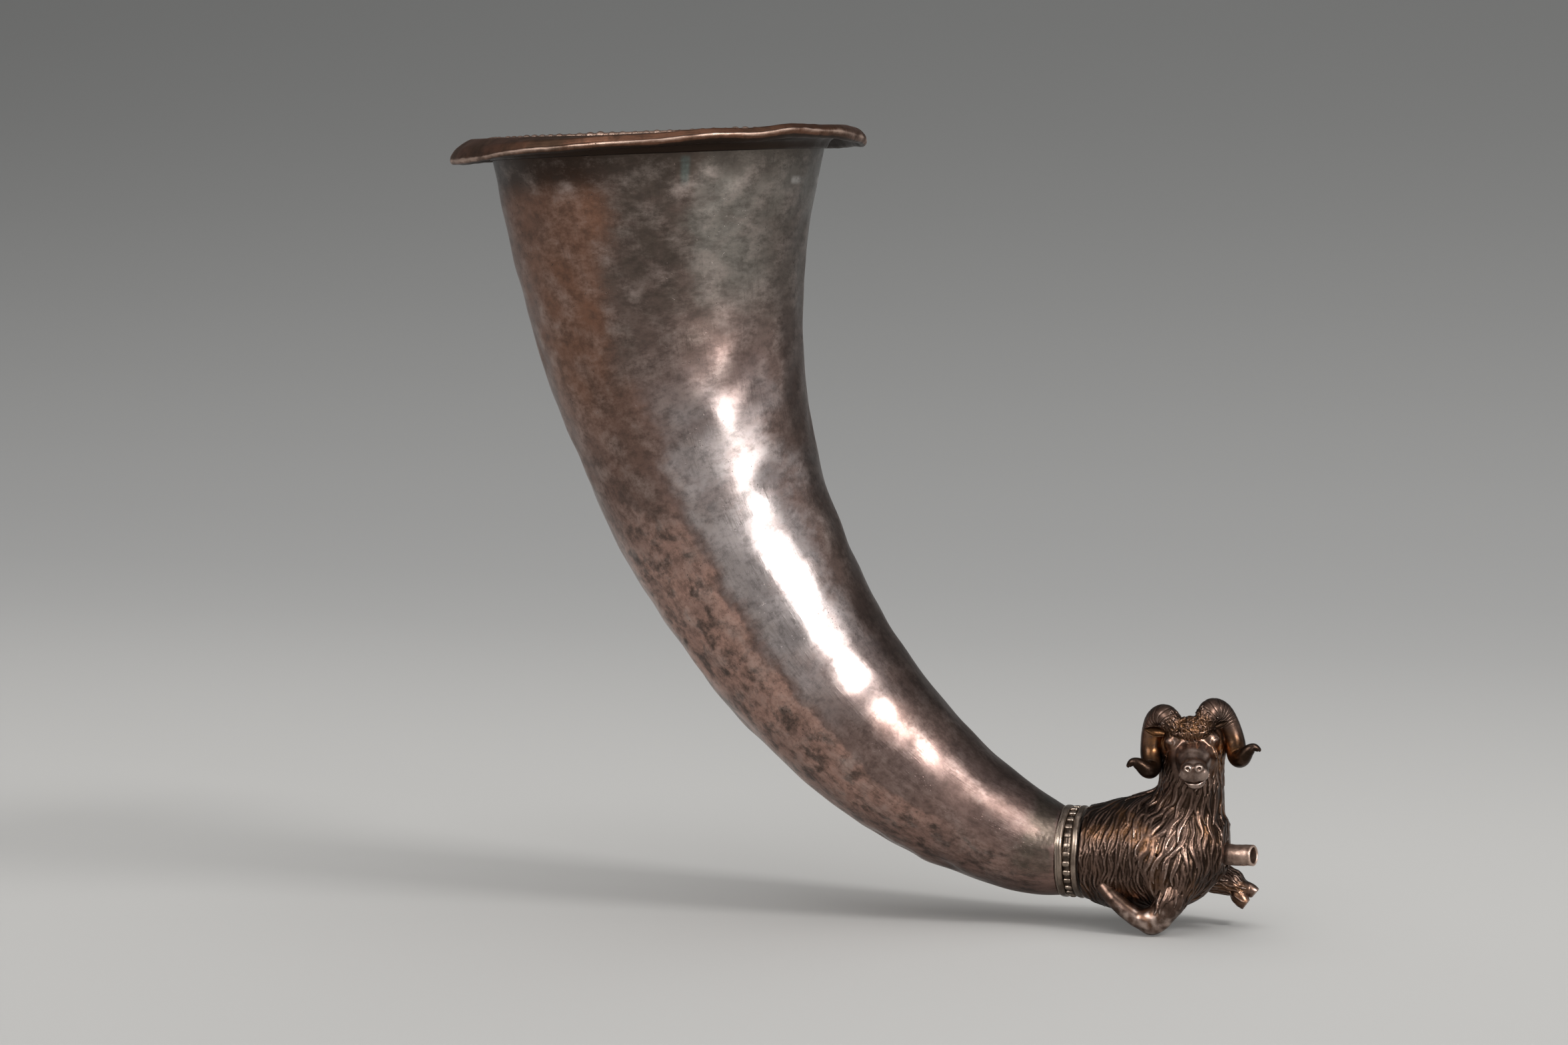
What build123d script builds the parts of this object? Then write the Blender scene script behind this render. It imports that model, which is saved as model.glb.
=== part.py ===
from build123d import *
from math import cos, pi, radians, sin
import os

# Ram rhyton: a silver drinking horn that ends in the forepart of a lying ram with a pouring tube.
# Millimetres. The origin is the centre of the collar that joins horn and ram, +X runs along the
# collar towards the ram's chest, +Z is up as the cup is held, and the ram looks towards -Y.

# Fits
SOLDER_GAP = 0.1

# Horn: its bent axis, its outer radius at five even steps from mouth to throat, and its wall
HORN_HEIGHT = 212.0
HORN_REACH = 133.4
HORN_DROP = 152.0
HORN_LEAN = 1.1
THROAT_RUN = 28.0
MOUTH_RADIUS = 51.5
UPPER_RADIUS = 39.6
MIDDLE_RADIUS = 31.3
LOWER_RADIUS = 24.0
THROAT_RADIUS = 13.5
HORN_WALL = 1.2
HORN_SECTIONS = 9
THROAT_SHOULDER = 3.0
MOUTH_TILT = 2.2

# Lip and its beaded wire
LIP_OVERHANG = 13.0
LIP_THICKNESS = 2.2
LIP_RISE = 6.6
LIP_EDGE_RISE = 0.4
LIP_SKIRT_DEPTH = 3.0
LIP_SKIRT_THICKNESS = 1.2
LIP_SKIRT_CLEARANCE = 0.3
BEAD_LAND_HEIGHT = 5.0
BEAD_LAND_MARGIN = 0.3
RIM_BEAD_RADIUS = 1.6
RIM_BEAD_SPACING = 0.2
RIM_BEAD_SINK = 0.6
RIM_WIRE_RADIUS = 0.9

# Collar: spigot in socket, a sleeve over the joint, two bands and a row of beads round the sleeve
COLLAR_LENGTH = 6.8
SPIGOT_RADIUS = 10.6
SPIGOT_WALL = 1.4
SPIGOT_LENGTH = 8.0
SOCKET_WALL = 1.4
SLEEVE_WALL = 0.8
BAND_HEIGHT = 1.0
REAR_BAND_WIDTH = 2.2
FRONT_BAND_WIDTH = 1.8
COLLAR_BEAD_SPACING = 0.6
COLLAR_BEAD_MARGIN = 0.15
COLLAR_STRIP_HEIGHT = 0.3

# Ram's body: a hollow barrel from the collar groove to the chest, with a solid neck
GROOVE_WIDTH = 0.8
BODY_LENGTH = 42.0
BODY_WALL = 2.0
FLEECE_EDGE_RADIUS = 14.6
BARREL_HALF_HEIGHT = 18.6
BARREL_HALF_WIDTH = 17.6
CHEST_HALF_HEIGHT = 8.5
CHEST_HALF_WIDTH = 7.0
CHEST_RISE = 3.5
NECK_TOP = 24.0
NECK_HALF_LENGTH = 9.6
NECK_HALF_WIDTH = 10.0
NECK_BACK_FROM_CHEST = 10.4
NECK_SPREAD = 4.0

# Ram's head, turned to the right and dipped, on a round tenon
HEAD_TURN = 79.0
HEAD_DIP = 23.0
HEAD_ROLL = 3.0
HEAD_FORWARD = 7.5
HEAD_RISE = 12.8
CROWN_ROLL = 8.0
CROWN_SHIFT = 0.2
SKULL_HALF_WIDTH = 8.0
MUZZLE_HALF_WIDTH = 4.2
MUZZLE_LENGTH = 15.0
SKULL_LENGTH = 10.0
HEAD_DEPTH = 12.4
MUZZLE_DEPTH = 7.4
TENON_RADIUS = 5.0
TENON_LENGTH = 5.0

# Spout
SPOUT_RADIUS = 3.2
SPOUT_BORE_RADIUS = 2.35
SPOUT_LENGTH = 20.0
SPOUT_STAND_OUT = 9.5
SPOUT_TURN = 15.0
SPOUT_LIFT = 4.0
SPOUT_HEIGHT = 1.6

# Places that follow from the sizes above
horn_bore_radius = MOUTH_RADIUS - HORN_WALL
spigot_bore_radius = SPIGOT_RADIUS - SPIGOT_WALL
socket_radius = SPIGOT_RADIUS + SOLDER_GAP
joint_radius = socket_radius + SOCKET_WALL
sleeve_bore_radius = joint_radius + SOLDER_GAP
sleeve_radius = sleeve_bore_radius + SLEEVE_WALL
band_bore_radius = sleeve_radius + SOLDER_GAP
collar_radius = band_bore_radius + BAND_HEIGHT
horn_end_x = -COLLAR_LENGTH / 2 - SOLDER_GAP
body_start_x = COLLAR_LENGTH / 2 + GROOVE_WIDTH
chest_x = body_start_x + BODY_LENGTH
neck_x = chest_x - NECK_BACK_FROM_CHEST


def oval_loft(sections):
    """Solid through ovals, each given as (plane, half size along its x, half size along its y)."""
    with BuildPart() as lofted:
        for plane, half_x, half_y in sections:
            with BuildSketch(plane):
                Ellipse(half_x, half_y)
        loft()
    return lofted.part


def limb(stations, across, allowance=0.0):
    """Solid through circles centred on (x, y, z, radius) stations; across sets where each seam lies."""
    centres = [Vector(x, y, z) for x, y, z, _ in stations]
    last = len(centres) - 1
    sections = []
    for index, station in enumerate(stations):
        heading = centres[min(index + 1, last)] - centres[max(index - 1, 0)]
        radius = station[3] + allowance
        sections.append((Plane(origin=centres[index], x_dir=across, z_dir=heading), radius, radius))
    return oval_loft(sections)


def horn_radius(share):
    """Outer radius at a share of the way from mouth to throat, on the curve through the five radii."""
    radii = (MOUTH_RADIUS, UPPER_RADIUS, MIDDLE_RADIUS, LOWER_RADIUS, THROAT_RADIUS)
    steps = len(radii) - 1
    total = 0.0
    for here, radius in enumerate(radii):
        weight = 1.0
        for other in range(len(radii)):
            if other != here:
                weight *= (share * steps - other) / (here - other)
        total += weight * radius
    return total


# The horn's axis drops from the mouth and sweeps forward into the collar
with BuildLine(Plane.XZ) as horn_axis:
    Bezier(
        (-HORN_REACH, HORN_HEIGHT),
        (-HORN_REACH - HORN_DROP * sin(radians(HORN_LEAN)), HORN_HEIGHT - HORN_DROP * cos(radians(HORN_LEAN))),
        (horn_end_x - THROAT_RUN, 0),
        (horn_end_x, 0),
    )
axis_edge = horn_axis.edges()[0]
mouth_plane = Plane(
    origin=(-HORN_REACH, 0, HORN_HEIGHT),
    x_dir=(cos(radians(MOUTH_TILT)), 0, sin(radians(MOUTH_TILT))),
    z_dir=(-sin(radians(MOUTH_TILT)), 0, cos(radians(MOUTH_TILT))),
)
# Local x of the lip's profile is its radius, local y its height above the horn's edge
lip_profile_plane = Plane(origin=mouth_plane.origin, x_dir=mouth_plane.x_dir, z_dir=-mouth_plane.y_dir)


def horn_sections(inset, length):
    """Circles along a length of the horn's axis, inset from its outer face; the first lies in the mouth."""
    sections = []
    for step in range(HORN_SECTIONS):
        share = step / (HORN_SECTIONS - 1) * length / axis_edge.length
        radius = horn_radius(share) - inset
        if step == 0:
            plane = Plane(origin=mouth_plane.origin, x_dir=(0, 1, 0), z_dir=-mouth_plane.z_dir)
        else:
            plane = Plane(origin=axis_edge @ share, x_dir=(0, 1, 0), z_dir=axis_edge % share)
        sections.append((plane, radius, radius))
    return sections


horn_outside = oval_loft(horn_sections(0, axis_edge.length))
horn_inside = oval_loft(horn_sections(HORN_WALL, axis_edge.length - THROAT_SHOULDER))

# Horn: thin shell that narrows at a shoulder to a stepped spigot at its small end
with BuildPart() as horn_body:
    add(horn_outside)
    with BuildSketch(Plane.YZ.offset(horn_end_x)):
        Circle(joint_radius)
    extrude(amount=-horn_end_x)
    with BuildSketch(Plane.YZ):
        Circle(SPIGOT_RADIUS)
    extrude(amount=SPIGOT_LENGTH)
    add(horn_inside, mode=Mode.SUBTRACT)
    with BuildSketch(Plane.YZ.offset(horn_end_x - 2 * THROAT_SHOULDER)):
        Circle(spigot_bore_radius)
    extrude(amount=SPIGOT_LENGTH - horn_end_x + 2 * THROAT_SHOULDER, mode=Mode.SUBTRACT)
horn_body.part.label = "horn_body"

# Lip: seat and skirt on the horn's edge, a flat land for the beads, then a drooping dome with a round edge
land_width = 2 * (RIM_BEAD_RADIUS + BEAD_LAND_MARGIN)
land_edge_radius = horn_bore_radius + land_width
lip_radius = MOUTH_RADIUS + LIP_OVERHANG
crest_radius = (land_edge_radius + lip_radius - LIP_THICKNESS) / 2
skirt_share = LIP_SKIRT_DEPTH / axis_edge.length
skirt_radius = horn_radius(skirt_share) - HORN_WALL - LIP_SKIRT_CLEARANCE
skirt_bore_radius = skirt_radius - LIP_SKIRT_THICKNESS
bead_ring_radius = horn_bore_radius + land_width / 2
bead_ring_height = BEAD_LAND_HEIGHT + RIM_BEAD_RADIUS - RIM_BEAD_SINK
with BuildPart() as rim_lip:
    with BuildSketch(lip_profile_plane):
        with BuildLine():
            Polyline(
                (skirt_radius, SOLDER_GAP),
                (skirt_radius, -LIP_SKIRT_DEPTH),
                (skirt_bore_radius, -LIP_SKIRT_DEPTH),
                (skirt_bore_radius, BEAD_LAND_HEIGHT),
                (land_edge_radius, BEAD_LAND_HEIGHT),
            )
            Spline(
                (land_edge_radius, BEAD_LAND_HEIGHT),
                (crest_radius, LIP_RISE),
                (lip_radius, LIP_EDGE_RISE),
                tangents=((1, 1), (0, -1)),
            )
            ThreePointArc(
                (lip_radius, LIP_EDGE_RISE),
                (lip_radius - LIP_THICKNESS / 2, LIP_EDGE_RISE - LIP_THICKNESS / 2),
                (lip_radius - LIP_THICKNESS, LIP_EDGE_RISE),
            )
            Spline(
                (lip_radius - LIP_THICKNESS, LIP_EDGE_RISE),
                (crest_radius, LIP_RISE - LIP_THICKNESS),
                (MOUTH_RADIUS + LIP_THICKNESS / 2, SOLDER_GAP),
                tangents=((0, 1), (0, -1)),
            )
            Line((MOUTH_RADIUS + LIP_THICKNESS / 2, SOLDER_GAP), (skirt_radius, SOLDER_GAP))
        make_face()
    revolve(axis=Axis(mouth_plane.origin, mouth_plane.z_dir))
    with BuildSketch(lip_profile_plane):
        with Locations((bead_ring_radius, bead_ring_height)):
            Circle(RIM_BEAD_RADIUS + SOLDER_GAP)
    revolve(axis=Axis(mouth_plane.origin, mouth_plane.z_dir), mode=Mode.SUBTRACT)
rim_lip.part.label = "rim_lip"

# Beaded wire in its groove on the lip
rim_bead_count = int(2 * pi * bead_ring_radius / (2 * RIM_BEAD_RADIUS + RIM_BEAD_SPACING))
with BuildPart(mouth_plane.offset(bead_ring_height)) as rim_beading:
    Torus(bead_ring_radius, RIM_WIRE_RADIUS)
    with PolarLocations(bead_ring_radius, rim_bead_count):
        Sphere(RIM_BEAD_RADIUS)
rim_beading.part.label = "rim_beading"


def ring(start_x, width, bore_radius, outer_radius):
    """Plain ring about the collar's axis."""
    with BuildPart() as plain_ring:
        with BuildSketch(Plane.YZ.offset(start_x)):
            Circle(outer_radius)
            Circle(bore_radius, mode=Mode.SUBTRACT)
        extrude(amount=width)
    return plain_ring.part


def rounded_band(start_x, width):
    """Band about the sleeve with a domed outer face."""
    with BuildPart() as band:
        with BuildSketch(Plane.XY):
            with BuildLine():
                Line((start_x, band_bore_radius), (start_x + width, band_bore_radius))
                Line((start_x + width, band_bore_radius), (start_x + width, band_bore_radius + BAND_HEIGHT / 2))
                ThreePointArc(
                    (start_x + width, band_bore_radius + BAND_HEIGHT / 2),
                    (start_x + width / 2, collar_radius),
                    (start_x, band_bore_radius + BAND_HEIGHT / 2),
                )
                Line((start_x, band_bore_radius + BAND_HEIGHT / 2), (start_x, band_bore_radius))
            make_face()
        revolve(axis=Axis.X)
    return band.part


# Collar sleeve over the joint, and the bands at its two ends
with BuildPart() as collar_sleeve:
    add(ring(-COLLAR_LENGTH / 2, COLLAR_LENGTH, sleeve_bore_radius, sleeve_radius))
collar_sleeve.part.label = "collar_sleeve"

with BuildPart() as collar_rear_band:
    add(rounded_band(-COLLAR_LENGTH / 2, REAR_BAND_WIDTH))
collar_rear_band.part.label = "collar_rear_band"

with BuildPart() as collar_front_band:
    add(rounded_band(COLLAR_LENGTH / 2 - FRONT_BAND_WIDTH, FRONT_BAND_WIDTH))
collar_front_band.part.label = "collar_front_band"

# Beads of the collar: low domes on a thin strip between the bands
strip_start_x = -COLLAR_LENGTH / 2 + REAR_BAND_WIDTH + SOLDER_GAP
strip_width = COLLAR_LENGTH - REAR_BAND_WIDTH - FRONT_BAND_WIDTH - 2 * SOLDER_GAP
strip_middle_x = strip_start_x + strip_width / 2
strip_radius = band_bore_radius + COLLAR_STRIP_HEIGHT
dome_height = collar_radius - strip_radius
dome_width = strip_width - 2 * COLLAR_BEAD_MARGIN
dome_radius = (dome_width**2 / 4 + dome_height**2) / (2 * dome_height)
collar_bead_count = int(2 * pi * strip_radius / (dome_width + COLLAR_BEAD_SPACING))
with BuildPart() as collar_beading:
    add(ring(strip_start_x, strip_width, band_bore_radius, strip_radius))
    with Locations(Plane.YZ.offset(strip_middle_x)):
        with PolarLocations(collar_radius - dome_radius, collar_bead_count):
            Sphere(dome_radius)
    with BuildSketch(Plane.YZ.offset(strip_start_x)):
        Circle(band_bore_radius)
    extrude(amount=strip_width, mode=Mode.SUBTRACT)
collar_beading.part.label = "collar_beading"


def barrel(inset):
    """The ram's barrel, from the fleece edge at the collar to the chest, inset from its outer face."""
    stations = (
        (0.0, FLEECE_EDGE_RADIUS, FLEECE_EDGE_RADIUS, 0.0),
        (0.18, 0.91 * BARREL_HALF_HEIGHT, 0.92 * BARREL_HALF_WIDTH, -0.1 * CHEST_RISE),
        (0.40, BARREL_HALF_HEIGHT, BARREL_HALF_WIDTH, 0.0),
        (0.64, 0.97 * BARREL_HALF_HEIGHT, 0.98 * BARREL_HALF_WIDTH, 0.2 * CHEST_RISE),
        (0.84, 0.79 * BARREL_HALF_HEIGHT, 0.77 * BARREL_HALF_WIDTH, 0.6 * CHEST_RISE),
        (1.0, CHEST_HALF_HEIGHT, CHEST_HALF_WIDTH, CHEST_RISE),
    )
    sections = []
    for share, half_height, half_width, rise in stations:
        x = body_start_x + inset + share * (BODY_LENGTH - 2 * inset)
        plane = Plane(origin=(x, 0, rise), x_dir=(0, 0, 1), z_dir=(1, 0, 0))
        sections.append((plane, half_height - inset, half_width - inset))
    return oval_loft(sections)


def neck(allowance):
    """The neck's column, from inside the barrel to the head's seat."""
    sections = []
    for share in (0.0, 0.5, 1.0):
        spread = NECK_SPREAD * (1 - share) ** 2 + allowance
        plane = Plane(
            origin=(neck_x - NECK_SPREAD * (1 - share) ** 2, 0, share * NECK_TOP),
            x_dir=(0, 1, 0),
            z_dir=(0, 0, 1),
        )
        sections.append((plane, NECK_HALF_WIDTH + spread, NECK_HALF_LENGTH + spread))
    return oval_loft(sections)


# Spout: a thin tube set into the chest, turned a little towards the side that the ram looks to
spout_heading = Vector(
    cos(radians(SPOUT_TURN)) * cos(radians(SPOUT_LIFT)),
    -sin(radians(SPOUT_TURN)) * cos(radians(SPOUT_LIFT)),
    sin(radians(SPOUT_LIFT)),
)
spout_inner_end = Vector(chest_x, 0, SPOUT_HEIGHT) + spout_heading * (SPOUT_STAND_OUT - SPOUT_LENGTH)
spout_plane = Plane(origin=spout_inner_end, z_dir=spout_heading)
with BuildPart() as spout_tube:
    with BuildSketch(spout_plane):
        Circle(SPOUT_RADIUS)
        Circle(SPOUT_BORE_RADIUS, mode=Mode.SUBTRACT)
    extrude(amount=SPOUT_LENGTH)
spout_tube.part.label = "spout_tube"

# Body: barrel and neck in one, hollow, with the collar's socket, the spout's hole and the head's mortise
body_outside = barrel(0)
body_cavity = barrel(BODY_WALL)
neck_column = neck(0)
with BuildPart() as ram_body:
    add(body_outside)
    add(neck_column)
    with BuildSketch(Plane.YZ.offset(SOLDER_GAP)):
        Circle(joint_radius)
    extrude(amount=body_start_x + BODY_WALL)
    add(body_cavity, mode=Mode.SUBTRACT)
    with BuildSketch(Plane.YZ):
        Circle(socket_radius)
    extrude(amount=SPIGOT_LENGTH + SOLDER_GAP, mode=Mode.SUBTRACT)
    with BuildSketch(spout_plane):
        Circle(SPOUT_RADIUS + SOLDER_GAP)
    extrude(amount=SPOUT_LENGTH, mode=Mode.SUBTRACT)
    with BuildSketch(Plane.XY.offset(NECK_TOP)):
        with Locations((neck_x, 0)):
            Circle(TENON_RADIUS + SOLDER_GAP)
    extrude(amount=-TENON_LENGTH - SOLDER_GAP, mode=Mode.SUBTRACT)
ram_body.part.label = "ram_body"

# The head's frame: origin between the eyes, local z out along the face, local x to the ram's left, y up
level_face = Vector(cos(radians(HEAD_TURN)), -sin(radians(HEAD_TURN)), 0)
level_left = Vector(sin(radians(HEAD_TURN)), cos(radians(HEAD_TURN)), 0)
face = level_face * cos(radians(HEAD_DIP)) - Vector(0, 0, sin(radians(HEAD_DIP)))
face_left = level_left * cos(radians(HEAD_ROLL)) + face.cross(level_left) * sin(radians(HEAD_ROLL))
brow_point = Vector(neck_x, 0, NECK_TOP + HEAD_RISE) + level_face * HEAD_FORWARD
head_plane = Plane(origin=brow_point, x_dir=face_left, z_dir=face)
# Horns and ears are set a little to the ram's right of it, rolled more, and level along the face
crown_plane = Plane(
    origin=brow_point - level_left * CROWN_SHIFT,
    x_dir=level_left * cos(radians(CROWN_ROLL)) + Vector(0, 0, sin(radians(CROWN_ROLL))),
    z_dir=level_face,
)


crown_symmetry = Plane(origin=crown_plane.origin, x_dir=level_face, z_dir=crown_plane.x_dir)


def on_crown_right(out, up, forward):
    """Point on the ram's right: out from the skull's side, up and forward of the brow."""
    return crown_plane.from_local_coords(Vector(-SKULL_HALF_WIDTH - out, up, forward))


def skull():
    """Head from the back of the skull to the lips, as ovals across the line of the face."""
    stations = (
        (-SKULL_LENGTH, 0.6 * SKULL_HALF_WIDTH, 0.6 * HEAD_DEPTH, 0.1),
        (-0.9 * SKULL_LENGTH, 0.8 * SKULL_HALF_WIDTH, 0.85 * HEAD_DEPTH, 0.2),
        (-0.6 * SKULL_LENGTH, SKULL_HALF_WIDTH, 1.1 * HEAD_DEPTH, 0.29),
        (-0.24 * SKULL_LENGTH, SKULL_HALF_WIDTH, HEAD_DEPTH, 0.24),
        (0.05 * MUZZLE_LENGTH, 0.92 * SKULL_HALF_WIDTH, 0.8 * HEAD_DEPTH, 0.08),
        (0.35 * MUZZLE_LENGTH, 0.75 * SKULL_HALF_WIDTH, 0.7 * HEAD_DEPTH, 0.03),
        (0.7 * MUZZLE_LENGTH, 1.1 * MUZZLE_HALF_WIDTH, 1.06 * MUZZLE_DEPTH, 0.02),
        (0.93 * MUZZLE_LENGTH, MUZZLE_HALF_WIDTH, MUZZLE_DEPTH, 0.0),
        (MUZZLE_LENGTH, 0.72 * MUZZLE_HALF_WIDTH, 0.7 * MUZZLE_DEPTH, -0.16),
    )
    sections = []
    for along, half_width, depth, share_above in stations:
        middle = depth * (share_above - 0.5)
        plane = Plane(
            origin=head_plane.from_local_coords(Vector(0, middle, along)),
            x_dir=head_plane.x_dir,
            z_dir=head_plane.z_dir,
        )
        sections.append((plane, half_width, depth / 2))
    return oval_loft(sections)


# Stations of a horn: out from the skull's side, up and forward of the brow, and radius
HORN_STATIONS = (
    (-4.3, 2.2, -2.0, 2.8),
    (-3.2, 5.6, -1.0, 3.1),
    (-1.0, 8.4, -2.6, 3.3),
    (1.7, 7.0, -4.8, 3.2),
    (3.6, 3.0, -6.0, 3.0),
    (4.9, -2.6, -5.4, 2.8),
    (5.1, -6.8, -2.2, 2.7),
    (6.2, -6.8, 1.0, 2.4),
    (8.3, -4.6, 2.3, 1.9),
    (10.1, -3.7, 2.7, 1.3),
    (11.6, -4.6, 2.8, 0.7),
)
HORN_ROOT_STATIONS = 4
# Stations of an ear: the same, then half height and half thickness
EAR_STATIONS = (
    (-0.8, 0.6, -0.1, 1.1, 0.8),
    (1.0, 1.8, -0.5, 2.0, 0.9),
    (3.2, 2.8, -0.8, 1.8, 0.7),
    (5.1, 3.6, -1.1, 0.5, 0.3),
)


def horn_curl(allowance=0.0, count=len(HORN_STATIONS)):
    """Curled horn on the ram's right, from its root in the head through the first stations."""
    stations = []
    for out, up, forward, radius in HORN_STATIONS[:count]:
        point = on_crown_right(out, up, forward)
        stations.append((point.X, point.Y, point.Z, radius))
    return limb(stations, level_face, allowance)


def ear(allowance=0.0):
    """Leaf shaped ear on the ram's right, inside the curl of the horn."""
    root = on_crown_right(*EAR_STATIONS[0][:3])
    tip = on_crown_right(*EAR_STATIONS[-1][:3])
    sections = []
    for out, up, forward, half_height, half_thickness in EAR_STATIONS:
        plane = Plane(origin=on_crown_right(out, up, forward), x_dir=(0, 0, 1), z_dir=tip - root)
        sections.append((plane, half_height + allowance, half_thickness + allowance))
    return oval_loft(sections)


# Head: skull and throat in one, with a tenon below and sockets for horns and ears
skull_solid = skull()
throat_top = Vector(neck_x, 0, NECK_TOP + HEAD_RISE * 0.7) + level_face * HEAD_FORWARD * 0.3
throat = oval_loft(
    (
        (Plane(origin=(neck_x, 0, NECK_TOP + SOLDER_GAP), x_dir=(0, 1, 0)), NECK_HALF_WIDTH, NECK_HALF_LENGTH),
        (Plane(origin=throat_top, x_dir=(0, 1, 0)), 0.85 * NECK_HALF_WIDTH, 0.85 * NECK_HALF_LENGTH),
    )
)
horn_socket = horn_curl(SOLDER_GAP, HORN_ROOT_STATIONS)
ear_socket = ear(SOLDER_GAP)
with BuildPart() as ram_head:
    add(skull_solid)
    add(throat)
    with BuildSketch(Plane.XY.offset(NECK_TOP + SOLDER_GAP)):
        with Locations((neck_x, 0)):
            Circle(TENON_RADIUS)
    extrude(amount=-TENON_LENGTH)
    add(horn_socket, mode=Mode.SUBTRACT)
    mirror(horn_socket, about=crown_symmetry, mode=Mode.SUBTRACT)
    add(ear_socket, mode=Mode.SUBTRACT)
    mirror(ear_socket, about=crown_symmetry, mode=Mode.SUBTRACT)
ram_head.part.label = "ram_head"

# Horns and ears: the ram's right is the near side, its left the far side
with BuildPart() as ram_horn_right:
    add(horn_curl())
ram_horn_right.part.label = "ram_horn_right"

with BuildPart() as ram_horn_left:
    mirror(ram_horn_right.part, about=crown_symmetry)
ram_horn_left.part.label = "ram_horn_left"

with BuildPart() as ear_right:
    add(ear())
ear_right.part.label = "ear_right"

with BuildPart() as ear_left:
    mirror(ear_right.part, about=crown_symmetry)
ear_left.part.label = "ear_left"

# Forelegs, cut to the body with a solder gap
# Stations of a leg: back from the chest, in from the barrel's side, up from its underside, and radius
FOLDED_FOREARM = ((13.0, 6.1, 11.6, 5.6), (14.4, 3.6, 6.4, 4.7), (16.6, 2.6, 1.6, 3.7))
FOLDED_CANNON = ((17.4, 2.6, 1.0, 3.3), (26.2, 2.6, 4.0, 2.0), (34.1, 3.1, 9.6, 1.6))
STRETCHED_LEG = (
    (10.2, 9.6, 13.6, 5.6),
    (4.2, 9.0, 11.6, 5.2),
    (-0.8, 9.2, 10.0, 4.3),
    (-4.3, 9.8, 7.6, 3.0),
    (-7.4, 10.2, 5.2, 2.2),
)


def leg_stations(stations, side):
    """Leg stations in the part's frame; side is -1 for the ram's right and 1 for its left."""
    placed = []
    for back, inward, rise, radius in stations:
        placed.append((chest_x - back, side * (BARREL_HALF_WIDTH - inward), rise - BARREL_HALF_HEIGHT, radius))
    return placed


folded_stations = leg_stations(FOLDED_FOREARM, -1)
knee = folded_stations[-1]
leg_clearance = barrel(-SOLDER_GAP)
folded_forearm = limb(folded_stations, (0, 1, 0))
folded_cannon = limb(leg_stations(FOLDED_CANNON, -1), (0, 1, 0))
stretched_limb = limb(leg_stations(STRETCHED_LEG, 1), (0, 1, 0))

with BuildPart() as foreleg_right:
    add(folded_forearm)
    add(folded_cannon)
    with Locations(knee[:3]):
        Sphere(knee[3])
    add(leg_clearance, mode=Mode.SUBTRACT)
foreleg_right.part.label = "foreleg_right"

with BuildPart() as foreleg_left:
    add(stretched_limb)
    add(leg_clearance, mode=Mode.SUBTRACT)
foreleg_left.part.label = "foreleg_left"

pieces = (
    horn_body, rim_lip, rim_beading, collar_sleeve, collar_rear_band, collar_beading, collar_front_band,
    ram_body, ram_head, ram_horn_right, ram_horn_left, ear_right, ear_left, foreleg_right, foreleg_left,
    spout_tube,
)
os.makedirs("parts", exist_ok=True)
for piece in pieces:
    export_step(piece.part, f"parts/{piece.part.label}.step")
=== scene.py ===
"""Looks of the ram rhyton: a tarnished silver drinking horn that ends in the forepart of a lying ram.

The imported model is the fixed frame. Every piece that shows is modelled again here with the dents, chased
fleece and tarnish that the plain solids leave out, and takes the place of its solid. Sizes are millimetres
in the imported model's frame: the origin in the collar, +X towards the ram's chest, +Z up, and the ram looks
towards -Y.
"""

import logging
import math
from collections.abc import Callable, Sequence
from dataclasses import dataclass, field
from enum import Enum

import bpy
import numpy as np
import openvdb
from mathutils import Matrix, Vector


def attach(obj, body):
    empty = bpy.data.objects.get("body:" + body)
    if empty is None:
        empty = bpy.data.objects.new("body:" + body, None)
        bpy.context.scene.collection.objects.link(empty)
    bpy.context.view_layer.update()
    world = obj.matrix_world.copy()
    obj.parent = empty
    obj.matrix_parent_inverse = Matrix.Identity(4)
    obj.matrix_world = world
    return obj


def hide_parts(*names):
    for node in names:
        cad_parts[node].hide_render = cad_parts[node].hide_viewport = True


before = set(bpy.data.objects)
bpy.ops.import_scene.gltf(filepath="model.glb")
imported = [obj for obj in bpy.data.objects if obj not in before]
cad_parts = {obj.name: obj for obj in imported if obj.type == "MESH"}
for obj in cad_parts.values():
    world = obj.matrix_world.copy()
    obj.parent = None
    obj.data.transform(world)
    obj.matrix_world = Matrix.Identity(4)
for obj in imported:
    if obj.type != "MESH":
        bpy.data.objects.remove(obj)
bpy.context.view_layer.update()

LOG = logging.getLogger("rhyton")

Array = np.ndarray
Colour = tuple[float, float, float]
Point = tuple[float, float, float]
Station = tuple[float, float, float, float]
Limits = tuple[float, float, float, float]
Block = tuple[Point, Point, float]
Span = tuple[float, float]
Pairs = tuple[Span, ...]
Waves = tuple[tuple[float, float, int], ...]
Socket = bpy.types.NodeSocket
Material = bpy.types.Material

MM = 0.001
TINY = 1e-9
BODY = "root"


class Slot(Enum):
    """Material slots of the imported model."""

    HORN = "horn_silver"
    RIM = "rim_silver"
    COLLAR = "collar_silver"
    RAM = "ram_silver"
    SPOUT = "spout_silver"


class Side(Enum):
    """Sides of the ram; the value is the sign of its left."""

    RIGHT = -1
    LEFT = 1


def unit(vector: Sequence[float]) -> Array:
    """Scale a vector to length one."""
    vector = np.asarray(vector, float)
    return vector / np.linalg.norm(vector)


def units(vectors: Array) -> Array:
    """Scale each row to length one."""
    return vectors / np.maximum(np.linalg.norm(vectors, axis=1, keepdims=True), TINY)


def full_turn(count: int) -> Array:
    """Angles spread evenly round a circle."""
    return np.linspace(0.0, math.tau, count, endpoint=False)


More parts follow.
